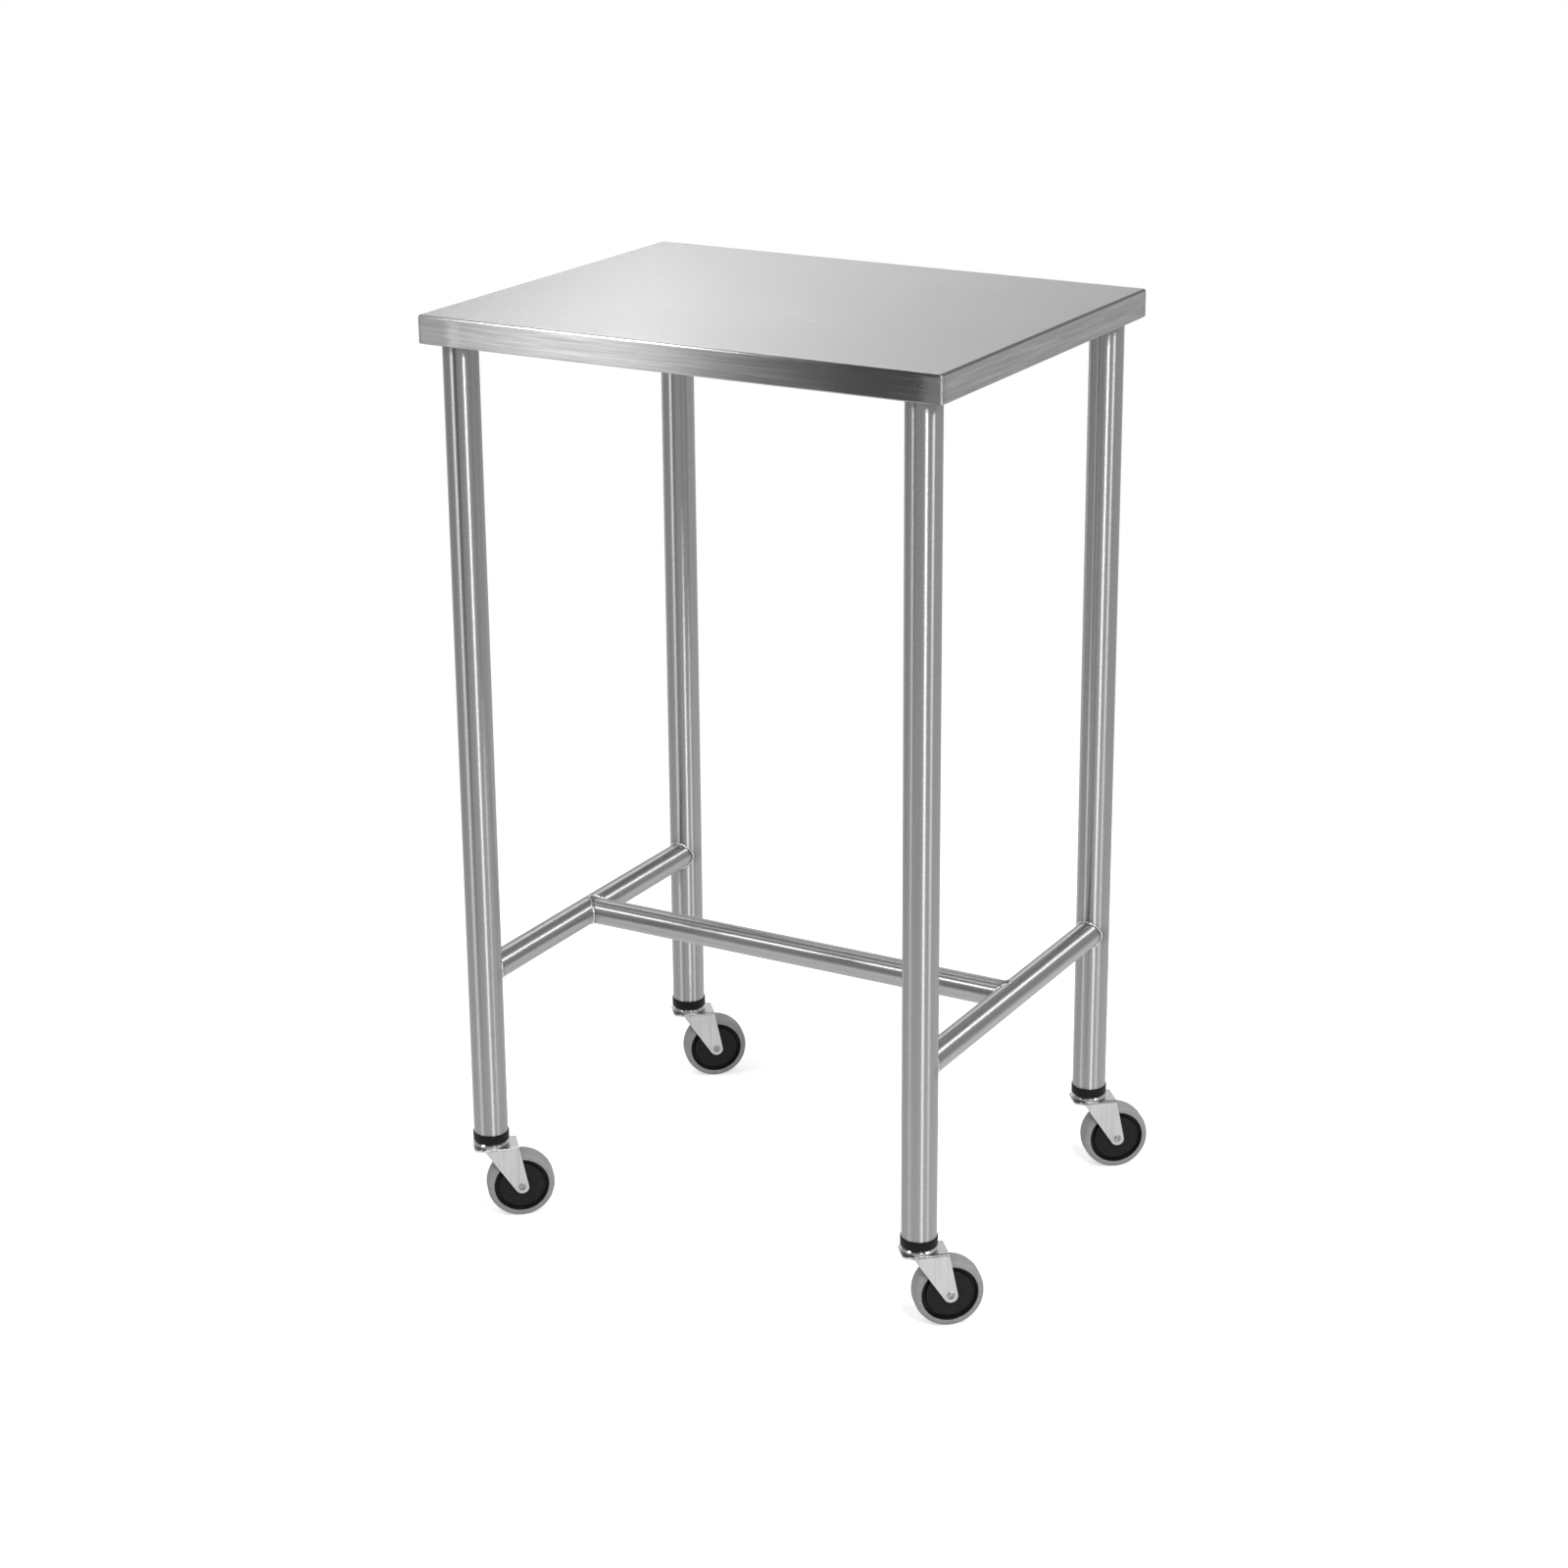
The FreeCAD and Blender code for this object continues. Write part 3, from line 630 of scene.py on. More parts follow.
def both_faces(half):
    """A closed outline from its upper half, which runs from the axle outwards."""
    return half + [(radius, -height) for radius, height in reversed(half)]


# %% [markdown]
# Measures of a leg's foot
#
# A caster's pieces are modelled about an upright axis through the world's origin, with their heights
# counted from the floor. Their outer sizes could be typed in, but then a thicker leg or a larger caster
# would leave them behind. So they are read from the boxes of the loaded solids, and turned into
# millimetres.

# %% Heights and radii of the socket and the leg
def above_floor(height):
    """A height in the frame as millimetres above the floor."""
    return (height - FLOOR) / MM


socket_low, socket_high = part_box("caster_sockets")
leg_low, leg_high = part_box("leg_front_right")
ring_low, plug_top = above_floor(socket_low.z), above_floor(socket_high.z)
ring_high = above_floor(leg_low.z)
ring_radius = (socket_high.x - LEG_X) / MM
leg_radius = (leg_high.x - leg_low.x) / 2 / MM
print(f"leg {2 * leg_radius:.2f} mm wide, {ring_high:.1f} mm above the floor")

# %% [markdown]
# Socket rings
#
# A black moulded plug closes each leg's foot, and its ring shows as a dark band between the bright tube
# and the bright caster. Inside the leg the plug has ribs that grip the tube. They never show, and a
# smooth plug would do for the picture, but a cut through the leg would look wrong, and in an outline
# that is turned the ribs cost only a few more points.

# %% Socket rings
SOCKET_BORE = 5.61
SOCKET_ROUNDING = 0.35
LEG_WALL = 1.6
PLUG_PLAY = 0.06
PLUG_SLOPE = 0.8
RIB_DEPTH = 0.7
RIB_PITCH = 6.0
RIB_SHARE = 0.6
RING_SLOPE = 0.9
RING_RISE = 1.0
SEAM_DEPTH = 0.25
SEAM_SLOPE = 0.2
SEAM_LOW = 1.5
SEAM_HIGH = 0.7

plug_radius = leg_radius - LEG_WALL - PLUG_PLAY


def ribbed_plug(low, high):
    """Steps of the plug inside the tube: lands that grip, with narrower necks between them."""
    steps = []
    height = low
    neck = plug_radius - RIB_DEPTH
    while height + RIB_PITCH < high:
        land_top = height + RIB_SHARE * RIB_PITCH
        steps += [(plug_radius, height), (plug_radius, land_top)]
        steps += [(neck, land_top), (neck, height + RIB_PITCH)]
        height += RIB_PITCH
    steps += [(plug_radius, height), (plug_radius, high - PLUG_SLOPE)]
    return steps + [(plug_radius - PLUG_SLOPE, high)]


socket_outline = [
    (SOCKET_BORE, ring_low),
    (ring_radius - RING_SLOPE, ring_low),
    (ring_radius, ring_low + RING_RISE),
    (ring_radius, ring_high - SEAM_LOW),
    (ring_radius - SEAM_DEPTH, ring_high - SEAM_LOW + SEAM_SLOPE),
    (ring_radius - SEAM_DEPTH, ring_high - SEAM_HIGH - SEAM_SLOPE),
    (ring_radius, ring_high - SEAM_HIGH),
    (ring_radius, ring_high),
]
socket_outline += ribbed_plug(ring_high, plug_top) + [(SOCKET_BORE, plug_top)]
socket = turned("socket", socket_outline)
round_edges(socket, SOCKET_ROUNDING)
sockets = one_set(socket, "socket_rings", under_leg, "socket", "caster_sockets")

# %% [markdown]
# Race cups
#
# Under each socket sits a cup of pressed steel with its lip turned down. It is the upper race of the
# swivel, and a shallow groove underneath guides the balls. It could be drawn as a thin shell and given
# its thickness by Solidify, as the fork is. But it is round, so one outline gives the plate, the lip
# and the groove at once.

# %% Race cups
CUP_BORE = 4.06
CUP_PLATE = 1.5
CUP_SLOPE = 1.6
CUP_ROUNDING = 0.5
BALL_PITCH = 12.0
GROOVE_WIDTH = 2.2
GROOVE_DEPTH = 0.35

cup_low, cup_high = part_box("race_cups")
lip_low, cup_top = above_floor(cup_low.z), above_floor(cup_high.z)
cup_radius = (cup_high.x - LEG_X) / MM
cup_under = cup_top - CUP_PLATE
cup = turned(
    "cup",
    [
        (CUP_BORE, cup_under),
        (BALL_PITCH - GROOVE_WIDTH / 2, cup_under),
        (BALL_PITCH - GROOVE_WIDTH / 4, cup_under + GROOVE_DEPTH),
        (BALL_PITCH + GROOVE_WIDTH / 4, cup_under + GROOVE_DEPTH),
        (BALL_PITCH + GROOVE_WIDTH / 2, cup_under),
        (cup_radius - CUP_PLATE, cup_under),
        (cup_radius - CUP_PLATE, lip_low),
        (cup_radius, lip_low),
        (cup_radius, cup_top - CUP_SLOPE),
        (cup_radius - CUP_SLOPE, cup_top),
        (CUP_BORE, cup_top),
    ],
)
round_edges(cup, CUP_ROUNDING)
cups = one_set(cup, "race_cups_pressed", under_leg, "zinc", "race_cups")

# %% [markdown]
# Swivel balls
#
# Between the cup and the fork's crown runs a ring of small steel balls. They show as bright dots in the
# dark gap. A particle system or an array about an empty could repeat them, but a loop that places one
# coarse sphere after another is plainer, and a few dozen faces are enough at this size. They roll in
# both races, so they are left with the welded frame, where they stay in the gap however the fork is
# turned.

# %% A ring of balls for each swivel
BALLS = 18
BALL_RADIUS = 1.4

race_top = above_floor(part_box("fork_front_left")[1].z)
ball_height = (race_top + cup_under) / 2
balls = []
for step in range(BALLS):
    turn = math.tau * step / BALLS
    spot = (BALL_PITCH * MM * math.cos(turn), BALL_PITCH * MM * math.sin(turn), ball_height * MM)
    select_nothing()
    bpy.ops.mesh.primitive_ico_sphere_add(subdivisions=2, radius=BALL_RADIUS * MM, location=spot)
    bpy.ops.object.shade_smooth()
    bpy.ops.object.transform_apply(location=True)
    balls.append(bpy.context.object)
ball_ring = join_all(balls, "ball_ring")
swivel_balls = one_set(ball_ring, "swivel_balls", under_leg, "zinc")

# %% [markdown]
# Pressed fork
#
# The fork starts as a flat steel plate. A press bends its two legs down, each narrowing to a round tip
# about the axle. The model is made in the same order: a flat crown, legs extruded down from its sides
# and pulled to their taper, tips and bends rounded, and only then the plate's thickness. Modelling the
# outside as a block and hollowing it would make the bends much harder to keep even.

# %% Sizes of the fork and where its legs end
FORK_PLATE = 2.0
FORK_INSIDE = 25.0
CROWN_BACK = 17.0
CROWN_FRONT = 24.4
LEG_BACK = 8.5
TIP_RADIUS = 6.4
RACE_RISE = 1.8

half_width = (FORK_INSIDE + FORK_PLATE) / 2
plate_height = race_top - RACE_RISE - FORK_PLATE / 2
trail = TRAIL / MM
axle_height = AXLE_HEIGHT / MM


def tip_corner(start, side):
    """Where a leg's edge, which touches the tip's circle, meets the lowest line, and the round there."""
    away = Vector((side * (start - trail), plate_height - axle_height))
    touch = math.atan2(away.y, away.x) - math.acos(TIP_RADIUS / away.length)
    rounding = TIP_RADIUS * math.tan((math.pi / 2 + touch) / 2)
    return trail + side * rounding, rounding


front_tip, front_rounding = tip_corner(CROWN_FRONT, 1)
back_tip, back_rounding = tip_corner(-LEG_BACK, -1)
tip_height = axle_height - TIP_RADIUS
print(f"leg tips run from x {back_tip:.1f} to {front_tip:.1f} mm")

# %% [markdown]
# Crown and legs
#
# The crown is a plane, cut across where the legs begin. Its side edges are extruded straight down, and
# the lower corners are then moved to where the taper ends. The edges to extrude could be chosen by
# their number, but numbers change with every cut, so vertices and edges are picked by where they lie.

# %% Flat crown and tapering legs
NEAR = 0.01


def pick(piece, kind, test):
    """Selects those vertices or edges of the piece whose middle, in millimetres, passes."""
    bpy.ops.mesh.select_mode(type={"verts": "VERT", "edges": "EDGE"}[kind])
    bpy.ops.mesh.select_all(action="DESELECT")
    mesh = bmesh.from_edit_mesh(piece.data)
    for item in getattr(mesh, kind):
        corners = [item] if kind == "verts" else item.verts
        middle = sum((vertex.co for vertex in corners), Vector()) / len(corners) / MM
        if test(middle):
            item.select_set(True)
    bmesh.update_edit_mesh(piece.data)


def near(value, place):
    """Whether a measure is the same as a place, but for rounding."""
    return abs(value - place) < NEAR


crown_middle = ((CROWN_FRONT - CROWN_BACK) / 2 * MM, 0, plate_height * MM)
select_nothing()
bpy.ops.mesh.primitive_plane_add(size=1, location=crown_middle)
fork = named_piece("fork")
fork.scale = ((CROWN_FRONT + CROWN_BACK) * MM, 2 * half_width * MM, 1)
bpy.ops.object.transform_apply(location=True, scale=True)
bpy.ops.object.mode_set(mode="EDIT")
bpy.ops.mesh.select_all(action="SELECT")
bpy.ops.mesh.bisect(plane_co=(-LEG_BACK * MM, 0, 0), plane_no=(1, 0, 0))
pick(fork, "edges", lambda at: near(abs(at.y), half_width) and at.x > -LEG_BACK)
drop = (0, 0, (tip_height - plate_height) * MM)
bpy.ops.mesh.extrude_edges_move(TRANSFORM_OT_translate={"value": drop})
for corner_at, place in ((CROWN_FRONT, front_tip), (-LEG_BACK, back_tip)):
    pick(fork, "verts", lambda at: near(at.z, tip_height) and near(at.x, corner_at))
    bpy.ops.transform.translate(value=((place - corner_at) * MM, 0, 0))

# %% [markdown]
# Rounding the fork
#
# The tips are half circles about the axle. Their two corners were placed so that a round of just the
# tip's radius touches both edges, and a bevel of each corner then gives the whole round tip. The
# crown's back corners are cut with a larger round, and the bends between crown and legs follow the
# press tool. All of it is done on the bare surface, because on a plate with its thickness the inner and
# the outer edges would have to be rounded one by one, and by different amounts.

# %% Round tips, crown corners and bends
CROWN_CORNER = 5.0
BEND_RADIUS = 1.6
TIP_STEPS = 10
BEND_STEPS = 6
TIP_SHARE = 0.999
FORK_DOUBLES = 0.01

for place, offset in ((front_tip, front_rounding), (back_tip, back_rounding)):
    pick(fork, "verts", lambda at: near(at.z, tip_height) and near(at.x, place))
    bpy.ops.mesh.bevel(affect="VERTICES", offset=TIP_SHARE * offset * MM, segments=TIP_STEPS, profile=0.5)
pick(fork, "verts", lambda at: near(at.x, -CROWN_BACK))
bpy.ops.mesh.bevel(affect="VERTICES", offset=CROWN_CORNER * MM, segments=BEND_STEPS, profile=0.5)
pick(fork, "edges",
     lambda at: near(abs(at.y), half_width) and near(at.z, plate_height) and at.x > -LEG_BACK)
bpy.ops.mesh.bevel(affect="EDGES", offset=BEND_RADIUS * MM, segments=BEND_STEPS, profile=0.5)
bpy.ops.mesh.select_all(action="SELECT")
bpy.ops.mesh.remove_doubles(threshold=FORK_DOUBLES * MM)
bpy.ops.mesh.normals_make_consistent(inside=False)
bpy.ops.object.mode_set(mode="OBJECT")
print("fork surface:", len(fork.data.polygons), "faces")

# %% [markdown]
# Plate thickness and raised race
#
# Solidify gives the folded surface its plate thickness on both sides of the middle, so that the bends
# stay round inside and out. The press also raises the race on which the balls run. It could be pushed
# up out of the crown's own mesh, but it is round and the crown isn't. So the race is turned as a piece
# of its own and welded on by a union.

# %% Plate thickness and raised race
RACE_RADIUS = 14.25
RACE_BORE = 3.0
RACE_SPREAD = 0.3
RACE_FOOT = 0.5
RACE_EDGE = 0.6


def with_modifier(piece, kind, **settings):
    """Adds a modifier, sets it and applies it."""
    work_on(piece)
    added = piece.modifiers.new(kind.lower(), kind)
    for key, value in settings.items():
        setattr(added, key, value)
    bpy.ops.object.modifier_apply(modifier=added.name)


def cut_or_add(piece, tool, operation):
    """Takes a tool piece out of a piece, or welds it on, and deletes the tool."""
    with_modifier(piece, "BOOLEAN", operation=operation, object=tool, solver="EXACT")
    discard(tool)


with_modifier(fork, "SOLIDIFY", thickness=FORK_PLATE * MM, offset=0, use_even_offset=True)
crown_top = plate_height + FORK_PLATE / 2
race = turned(
    "race",
    [
        (RACE_BORE, crown_top - FORK_PLATE / 2),
        (RACE_RADIUS + RACE_SPREAD, crown_top - FORK_PLATE / 2),
        (RACE_RADIUS + RACE_SPREAD, crown_top),
        (RACE_RADIUS, crown_top + RACE_FOOT),
        (RACE_RADIUS, race_top - RACE_EDGE),
        (RACE_RADIUS - RACE_EDGE, race_top),
        (BALL_PITCH + GROOVE_WIDTH / 2, race_top),
        (BALL_PITCH + GROOVE_WIDTH / 4, race_top - GROOVE_DEPTH),
        (BALL_PITCH - GROOVE_WIDTH / 4, race_top - GROOVE_DEPTH),
        (BALL_PITCH - GROOVE_WIDTH / 2, race_top),
        (RACE_BORE, race_top),
    ],
    solid=True,
)
cut_or_add(fork, race, "UNION")
print("fork with its race:", len(fork.data.polygons), "faces")

# %% [markdown]
# Holes for the kingpin and the axle
#
# The holes could be left in the outline from the start, but then every bevel would have to be kept away
# from them. Two round bars cut them out of the finished plate instead. All edges are rounded last, so
# that the rims of the holes are rounded too.

# %% Holes for the kingpin and the axle
FORK_ROUNDING = 0.3
AXLE_HOLE = 3.04
KINGPIN_BAR = {"length": 20, "sides": 64}
AXLE_BAR = {"length": 60, "sides": 48}


def bar(radius, middle, tilt, length, sides):
    """A round bar to cut a hole with, longer than the plate that it goes through."""
    select_nothing()
    bpy.ops.mesh.primitive_cylinder_add(vertices=sides, radius=radius * MM, depth=length * MM,
                                        location=middle, rotation=(tilt, 0, 0))
    return bpy.context.object


kingpin_bar = bar(CUP_BORE, (0, 0, crown_top * MM), 0, **KINGPIN_BAR)
cut_or_add(fork, kingpin_bar, "DIFFERENCE")
axle_bar = bar(AXLE_HOLE, (TRAIL, 0, AXLE_HEIGHT), math.pi / 2, **AXLE_BAR)
cut_or_add(fork, axle_bar, "DIFFERENCE")
round_edges(fork, FORK_ROUNDING, segments=2)
at_each_corner(fork, "fork_pressed", under_leg, "swivel_{}", "zinc", "fork_{}")

# %% [markdown]
# Axle
#
# The wheel runs on a rivet that goes through both legs of the fork and has a dimple in each head. A
# cylinder with a rounded edge would be quicker, but the dimple is what tells a rivet from a bolt. So an
# outline from the dimple to the shank is turned about the axle, and its mirror image gives the other
# end.

# %% Riveted axle
FORK_WIDTH = FORK_INSIDE + 2 * FORK_PLATE
HEAD_RADIUS = 3.8
HEAD_RISE = 1.1
AXLE_RADIUS = 3.0
DIMPLE_RADIUS = 1.9
DIMPLE_DEPTH = 1.0
DIMPLE_STEP = 0.35
DIMPLE_POINT = 0.7
DIMPLE_FLAT = 1.1
DIMPLE_SLOPE = 0.3
HEAD_FLAT = 0.6
HEAD_SLOPE = (0.5, 0.25)
HEAD_EDGE = 0.3
RIVET_SIDES = 64
RIVET_ROUNDING = 0.12

head = FORK_WIDTH / 2 + HEAD_RISE
rivet_half = [
    (DIMPLE_POINT, head - DIMPLE_DEPTH + DIMPLE_STEP),
    (DIMPLE_FLAT, head - DIMPLE_DEPTH),
    (DIMPLE_RADIUS - DIMPLE_SLOPE, head - DIMPLE_DEPTH),
    (DIMPLE_RADIUS, head - DIMPLE_SLOPE),
    (DIMPLE_RADIUS + HEAD_FLAT, head),
    (HEAD_RADIUS - HEAD_SLOPE[0], head - HEAD_SLOPE[1]),
    (HEAD_RADIUS, FORK_WIDTH / 2 + HEAD_EDGE),
    (HEAD_RADIUS, FORK_WIDTH / 2),
    (AXLE_RADIUS, FORK_WIDTH / 2),
]
rivet = turned("rivet", both_faces(rivet_half), sides=RIVET_SIDES, solid=True)
round_edges(rivet, RIVET_ROUNDING, segments=2)
at_each_corner(rivet, "axle_rivet", on_axle, "swivel_{}", "zinc", "axle_{}")

# %% [markdown]
# Hub
#
# The hub is a black moulding with a flat disc, a deep groove and a thin rim. The groove could be a
# darker ring in the material, but its wall catches the light in thin crescents, so groove and rim are
# real shapes. The walls lean a little, because a moulding has to come out of its mould.

# %% Moulded hub
HUB_BORE = 4.5
HUB_LENGTH = 24.4
BOSS_RADIUS = 7.5
DISC_RADIUS = 21.8
DISC_WIDTH = 19.0
GROOVE_FLOOR = 13.0
HUB_RADIUS = 25.8
HUB_RIM_WIDTH = 20.6
HUB_RIM = 1.0
HUB_ROUNDING = 0.35
DRAFT = 0.4

hub_half = [
    (HUB_BORE, HUB_LENGTH / 2),
    (BOSS_RADIUS - DRAFT, HUB_LENGTH / 2),
    (BOSS_RADIUS, DISC_WIDTH / 2),
    (DISC_RADIUS - DRAFT, DISC_WIDTH / 2),
    (DISC_RADIUS, GROOVE_FLOOR / 2),
    (HUB_RADIUS - HUB_RIM - DRAFT, GROOVE_FLOOR / 2),
    (HUB_RADIUS - HUB_RIM, HUB_RIM_WIDTH / 2),
    (HUB_RADIUS, HUB_RIM_WIDTH / 2),
]
hub = turned("hub", both_faces(hub_half))
round_edges(hub, HUB_ROUNDING)
at_each_corner(hub, "hub_moulded", on_axle, "wheel_{}", "hub", "hub_{}")

# %% [markdown]
# Tyre
#
# The tyre is a grey rubber ring moulded round the hub. Its tread is flat in the middle and falls away
# to soft shoulders, and a low lip runs round each side next to the hub. A torus would be quicker, but
# its sides would bulge where the real ones are flat, so the tyre is turned from an outline too.

# %% Grey tyre
TYRE_BORE = 25.85
TREAD_WIDTH = 22.0
TREAD_FLAT = 11.0
WHEEL_RADIUS = AXLE_HEIGHT / MM
LIP_WIDTH = 1.3
LIP_RISE = 0.35
LIP_SLOPE = 0.4
SHOULDER_START = 3.0
SHOULDER = (0.9, 1.7)
TYRE_SIDES = 120
TYRE_ROUNDING = 0.45

tyre_half = [
    (TYRE_BORE, TREAD_WIDTH / 2 - LIP_RISE),
    (TYRE_BORE + LIP_SLOPE, TREAD_WIDTH / 2),
    (TYRE_BORE + LIP_WIDTH, TREAD_WIDTH / 2),
    (TYRE_BORE + LIP_WIDTH + LIP_SLOPE, TREAD_WIDTH / 2 - LIP_RISE),
    (WHEEL_RADIUS - SHOULDER_START, TREAD_WIDTH / 2 - LIP_RISE),
    (WHEEL_RADIUS - SHOULDER[0], TREAD_WIDTH / 2 - SHOULDER[1]),
    (WHEEL_RADIUS, TREAD_FLAT / 2),
]
tyre = turned("tyre", both_faces(tyre_half), sides=TYRE_SIDES)
round_edges(tyre, TYRE_ROUNDING, sharper_than=12)
at_each_corner(tyre, "tyre_rubber", on_axle, "wheel_{}", "tyre", "tyre_{}")

# %% [markdown]
# Weld beads
#
# Each rail is coped to sit against a round post and is welded all the way round. The bead follows the
# line where two tubes meet, which is no flat circle: seen along the rail it is a circle, but it bends
# back round the post. A small circle could be swept along that line. A torus already has its rings in
# place, so each ring is only moved along the rail by the depth of the post's curve, and swollen a
# little in steps, as a hand-laid bead is.

# %% A bead where two tubes meet
BEAD_RADIUS = 1.3
BEAD_OUT = 0.54
RIPPLES = 34
RIPPLE_SWELL = 0.16
RIPPLE_WANDER = 0.4
WANDERS = 5
BEAD_RINGS = 204
BEAD_SIDES = 10

rail_low, rail_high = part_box("cross_rail")
rail_radius = (rail_high.z - rail_low.z) / 2
rail_height = (rail_high.z + rail_low.z) / 2


def weld_bead(name, post_radius, place):
    """A bead about a rail along X, laid against a round post whose axis is the upright Z."""
    centre_radius = rail_radius + BEAD_OUT * MM
    select_nothing()
    bpy.ops.mesh.primitive_torus_add(major_radius=centre_radius, minor_radius=BEAD_RADIUS * MM,
                                     major_segments=BEAD_RINGS, minor_segments=BEAD_SIDES,
                                     rotation=(0, math.pi / 2, 0))
    bead = named_piece(name)
    bpy.ops.object.transform_apply(rotation=True)
    for vertex in bead.data.vertices:
        turn = math.atan2(vertex.co.z, vertex.co.y)
        middle = Vector((0, math.cos(turn), math.sin(turn))) * centre_radius
        wander = RIPPLE_WANDER * math.sin(WANDERS * turn)
        swell = 1 - RIPPLE_SWELL * abs(math.sin(RIPPLES * turn / 2 + wander))
        out = (vertex.co - middle) * swell
        reach = math.sqrt(max(post_radius ** 2 - middle.y ** 2, 0))
        vertex.co = middle + out + Vector((post_radius - reach, 0, 0))
    work_on(bead)
    bpy.ops.object.shade_smooth()
    bead.matrix_world = place
    bpy.ops.object.transform_apply(location=True, rotation=True, scale=True)
    return bead


def against(post, facing, post_radius, upright=UP):
    """The place of a bead on a post, facing along the rail that comes to it."""
    facing = Vector(facing)
    start = Vector(post) + facing * post_radius
    return axes_at(start, -facing, upright)


print(f"rails {2 * rail_radius / MM:.1f} mm wide, {rail_height - FLOOR:.3f} m above the floor")

# %% [markdown]
# Beads on the legs and rails
#
# Four beads join the side rails to the legs, and two join the cross rail to the side rails, which lie
# level, so there the bead's upright is turned to follow them. The beads could stay six pieces, but the
# frame never comes apart at its welds, so each kind is joined into one.

# %% Beads of the lower brace
leg_radius_m = leg_radius * MM
beads = []
for x_sign in (-1, 1):
    for y_sign in (-1, 1):
        post = (x_sign * LEG_X, y_sign * LEG_Y, rail_height)
        beads.append(weld_bead("bead", leg_radius_m, against(post, (0, -y_sign, 0), leg_radius_m)))
side_beads = join_all(beads, "weld_beads_legs")
beads = []
for x_sign in (-1, 1):
    post = (x_sign * LEG_X, 0, rail_height)
    place = against(post, (-x_sign, 0, 0), rail_radius, upright=(0, 1, 0))
    beads.append(weld_bead("bead", rail_radius, place))
cross_beads = join_all(beads, "weld_beads_rails")
for welds in (side_beads, cross_beads):
    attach(welds, "frame")
    print(welds.name, len(welds.data.polygons), "faces")

# %% [markdown]
# Beads under the top
#
# Each leg is welded to the channel that it stands in. The channel is flat, so this bead is a plain
# circle with finer ripples, and needs no bending. It is made once and copied to the four legs, as the
# casters are.

# %% Beads round the tops of the legs
TOP_BEAD_RADIUS = 0.75
TOP_BEAD_SINK = 0.3
FINER = 1.5

select_nothing()
bpy.ops.mesh.primitive_torus_add(major_radius=leg_radius_m, minor_radius=TOP_BEAD_RADIUS * MM,
                                 major_segments=BEAD_RINGS, minor_segments=BEAD_SIDES)
top_bead = bpy.context.object
for vertex in top_bead.data.vertices:
    turn = math.atan2(vertex.co.y, vertex.co.x)
    middle = Vector((math.cos(turn), math.sin(turn), 0)) * leg_radius_m
    swell = 1 - RIPPLE_SWELL * abs(math.sin(FINER * RIPPLES * turn / 2))
    vertex.co = middle + (vertex.co - middle) * swell
bpy.ops.object.shade_smooth()


def leg_top(corner):
    """The place of a bead under the work surface."""
    across, along, _ = JOINTS[f"swivel_{corner}"]["pos_m"]
    return Matrix.Translation((across, along, leg_high.z - TOP_BEAD_SINK * TOP_BEAD_RADIUS * MM))


top_beads = one_set(top_bead, "weld_beads_tops", leg_top, "tube")

# %% [markdown]
# Finishes: shared nodes
#
# Every finish is drawn by nodes that read the piece's own place in the table, so a pattern stays put
# from any side. A noise stretched along one axis gives the fine scratches of a brush, and a broad soft
# noise gives the unevenness of hand work. An image could hold the same, but nodes keep their detail at
# any size.

# %% Helpers for finishes
def new_finish(name, colour, metallic, roughness):
    """A material with a principled shader, ready for its pattern nodes."""
    material = bpy.data.materials.new(name)
    tree = empty_tree(material)
    shader = node(tree, "ShaderNodeBsdfPrincipled", (900, 0))
    shader.inputs["Base Color"].default_value = colour
    shader.inputs["Metallic"].default_value = metallic
    shader.inputs["Roughness"].default_value = roughness
    shown_by(tree, shader.outputs[0])
    return material, tree, shader


def grain(tree, scale, detail=3.0, rough=0.6):
    """Noise with its own number of grains per metre along each axis."""
    stretch = node(tree, "ShaderNodeMapping", (-1000, 200))
    stretch.inputs["Scale"].default_value = scale
    noise = node(tree, "ShaderNodeTexNoise", (-800, 200))
    noise.inputs["Scale"].default_value = 1.0
    noise.inputs["Detail"].default_value = detail
    noise.inputs["Roughness"].default_value = rough
    tree.links.new(place_in(tree), stretch.inputs["Vector"])
    tree.links.new(stretch.outputs[0], noise.inputs["Vector"])
    return noise.outputs["Fac"]


def blended(tree, factor, first, second):
    """Goes from the first colour or value to the second by a factor."""
    mix = node(tree, "ShaderNodeMix", (200, 0), data_type="RGBA")
    tree.links.new(factor, mix.inputs["Factor"])
    feed(tree, mix.inputs["A"], first)
    feed(tree, mix.inputs["B"], second)
    return mix.outputs["Result"]


def raised(tree, shader, height, depth, strength=1.0):
    """Bump from a height pattern; depth is in millimetres."""
    bump = node(tree, "ShaderNodeBump", (600, -300))
    bump.inputs["Strength"].default_value = strength
    bump.inputs["Distance"].default_value = depth * MM
    tree.links.new(height, bump.inputs["Height"])
    tree.links.new(bump.outputs[0], shader.inputs["Normal"])


def grey(level, warmth=0.0):
    """A grey colour, a little warmer or cooler."""
    return (level * (1 + warmth), level, level * (1 - warmth), 1)


def put_on(material, *pieces):
    """Gives each piece, or the loaded node of that name, this finish alone."""
    for piece in pieces:
        mesh = (frame["nodes"][piece] if isinstance(piece, str) else piece).data
        mesh.materials.clear()
        mesh.materials.append(material)
    print(f"{material.name}: {len(material.node_tree.nodes)} nodes, on {len(pieces)} pieces")


# %% [markdown]
# Brushed sheet
#
# The work surface is satin stainless. It is brushed lengthwise, so highlights spread across the grain,
# which the shader's anisotropy does when it is told the grain's direction. On the end aprons the grain
# turns to run along them. Two materials could do it, with a line between them. One is enough, because
# the surface's own normal tells which face it is on.

# %% Which way the grain runs
END_FACE = 0.7
SIDE_BEND = (0.12, 0.32)


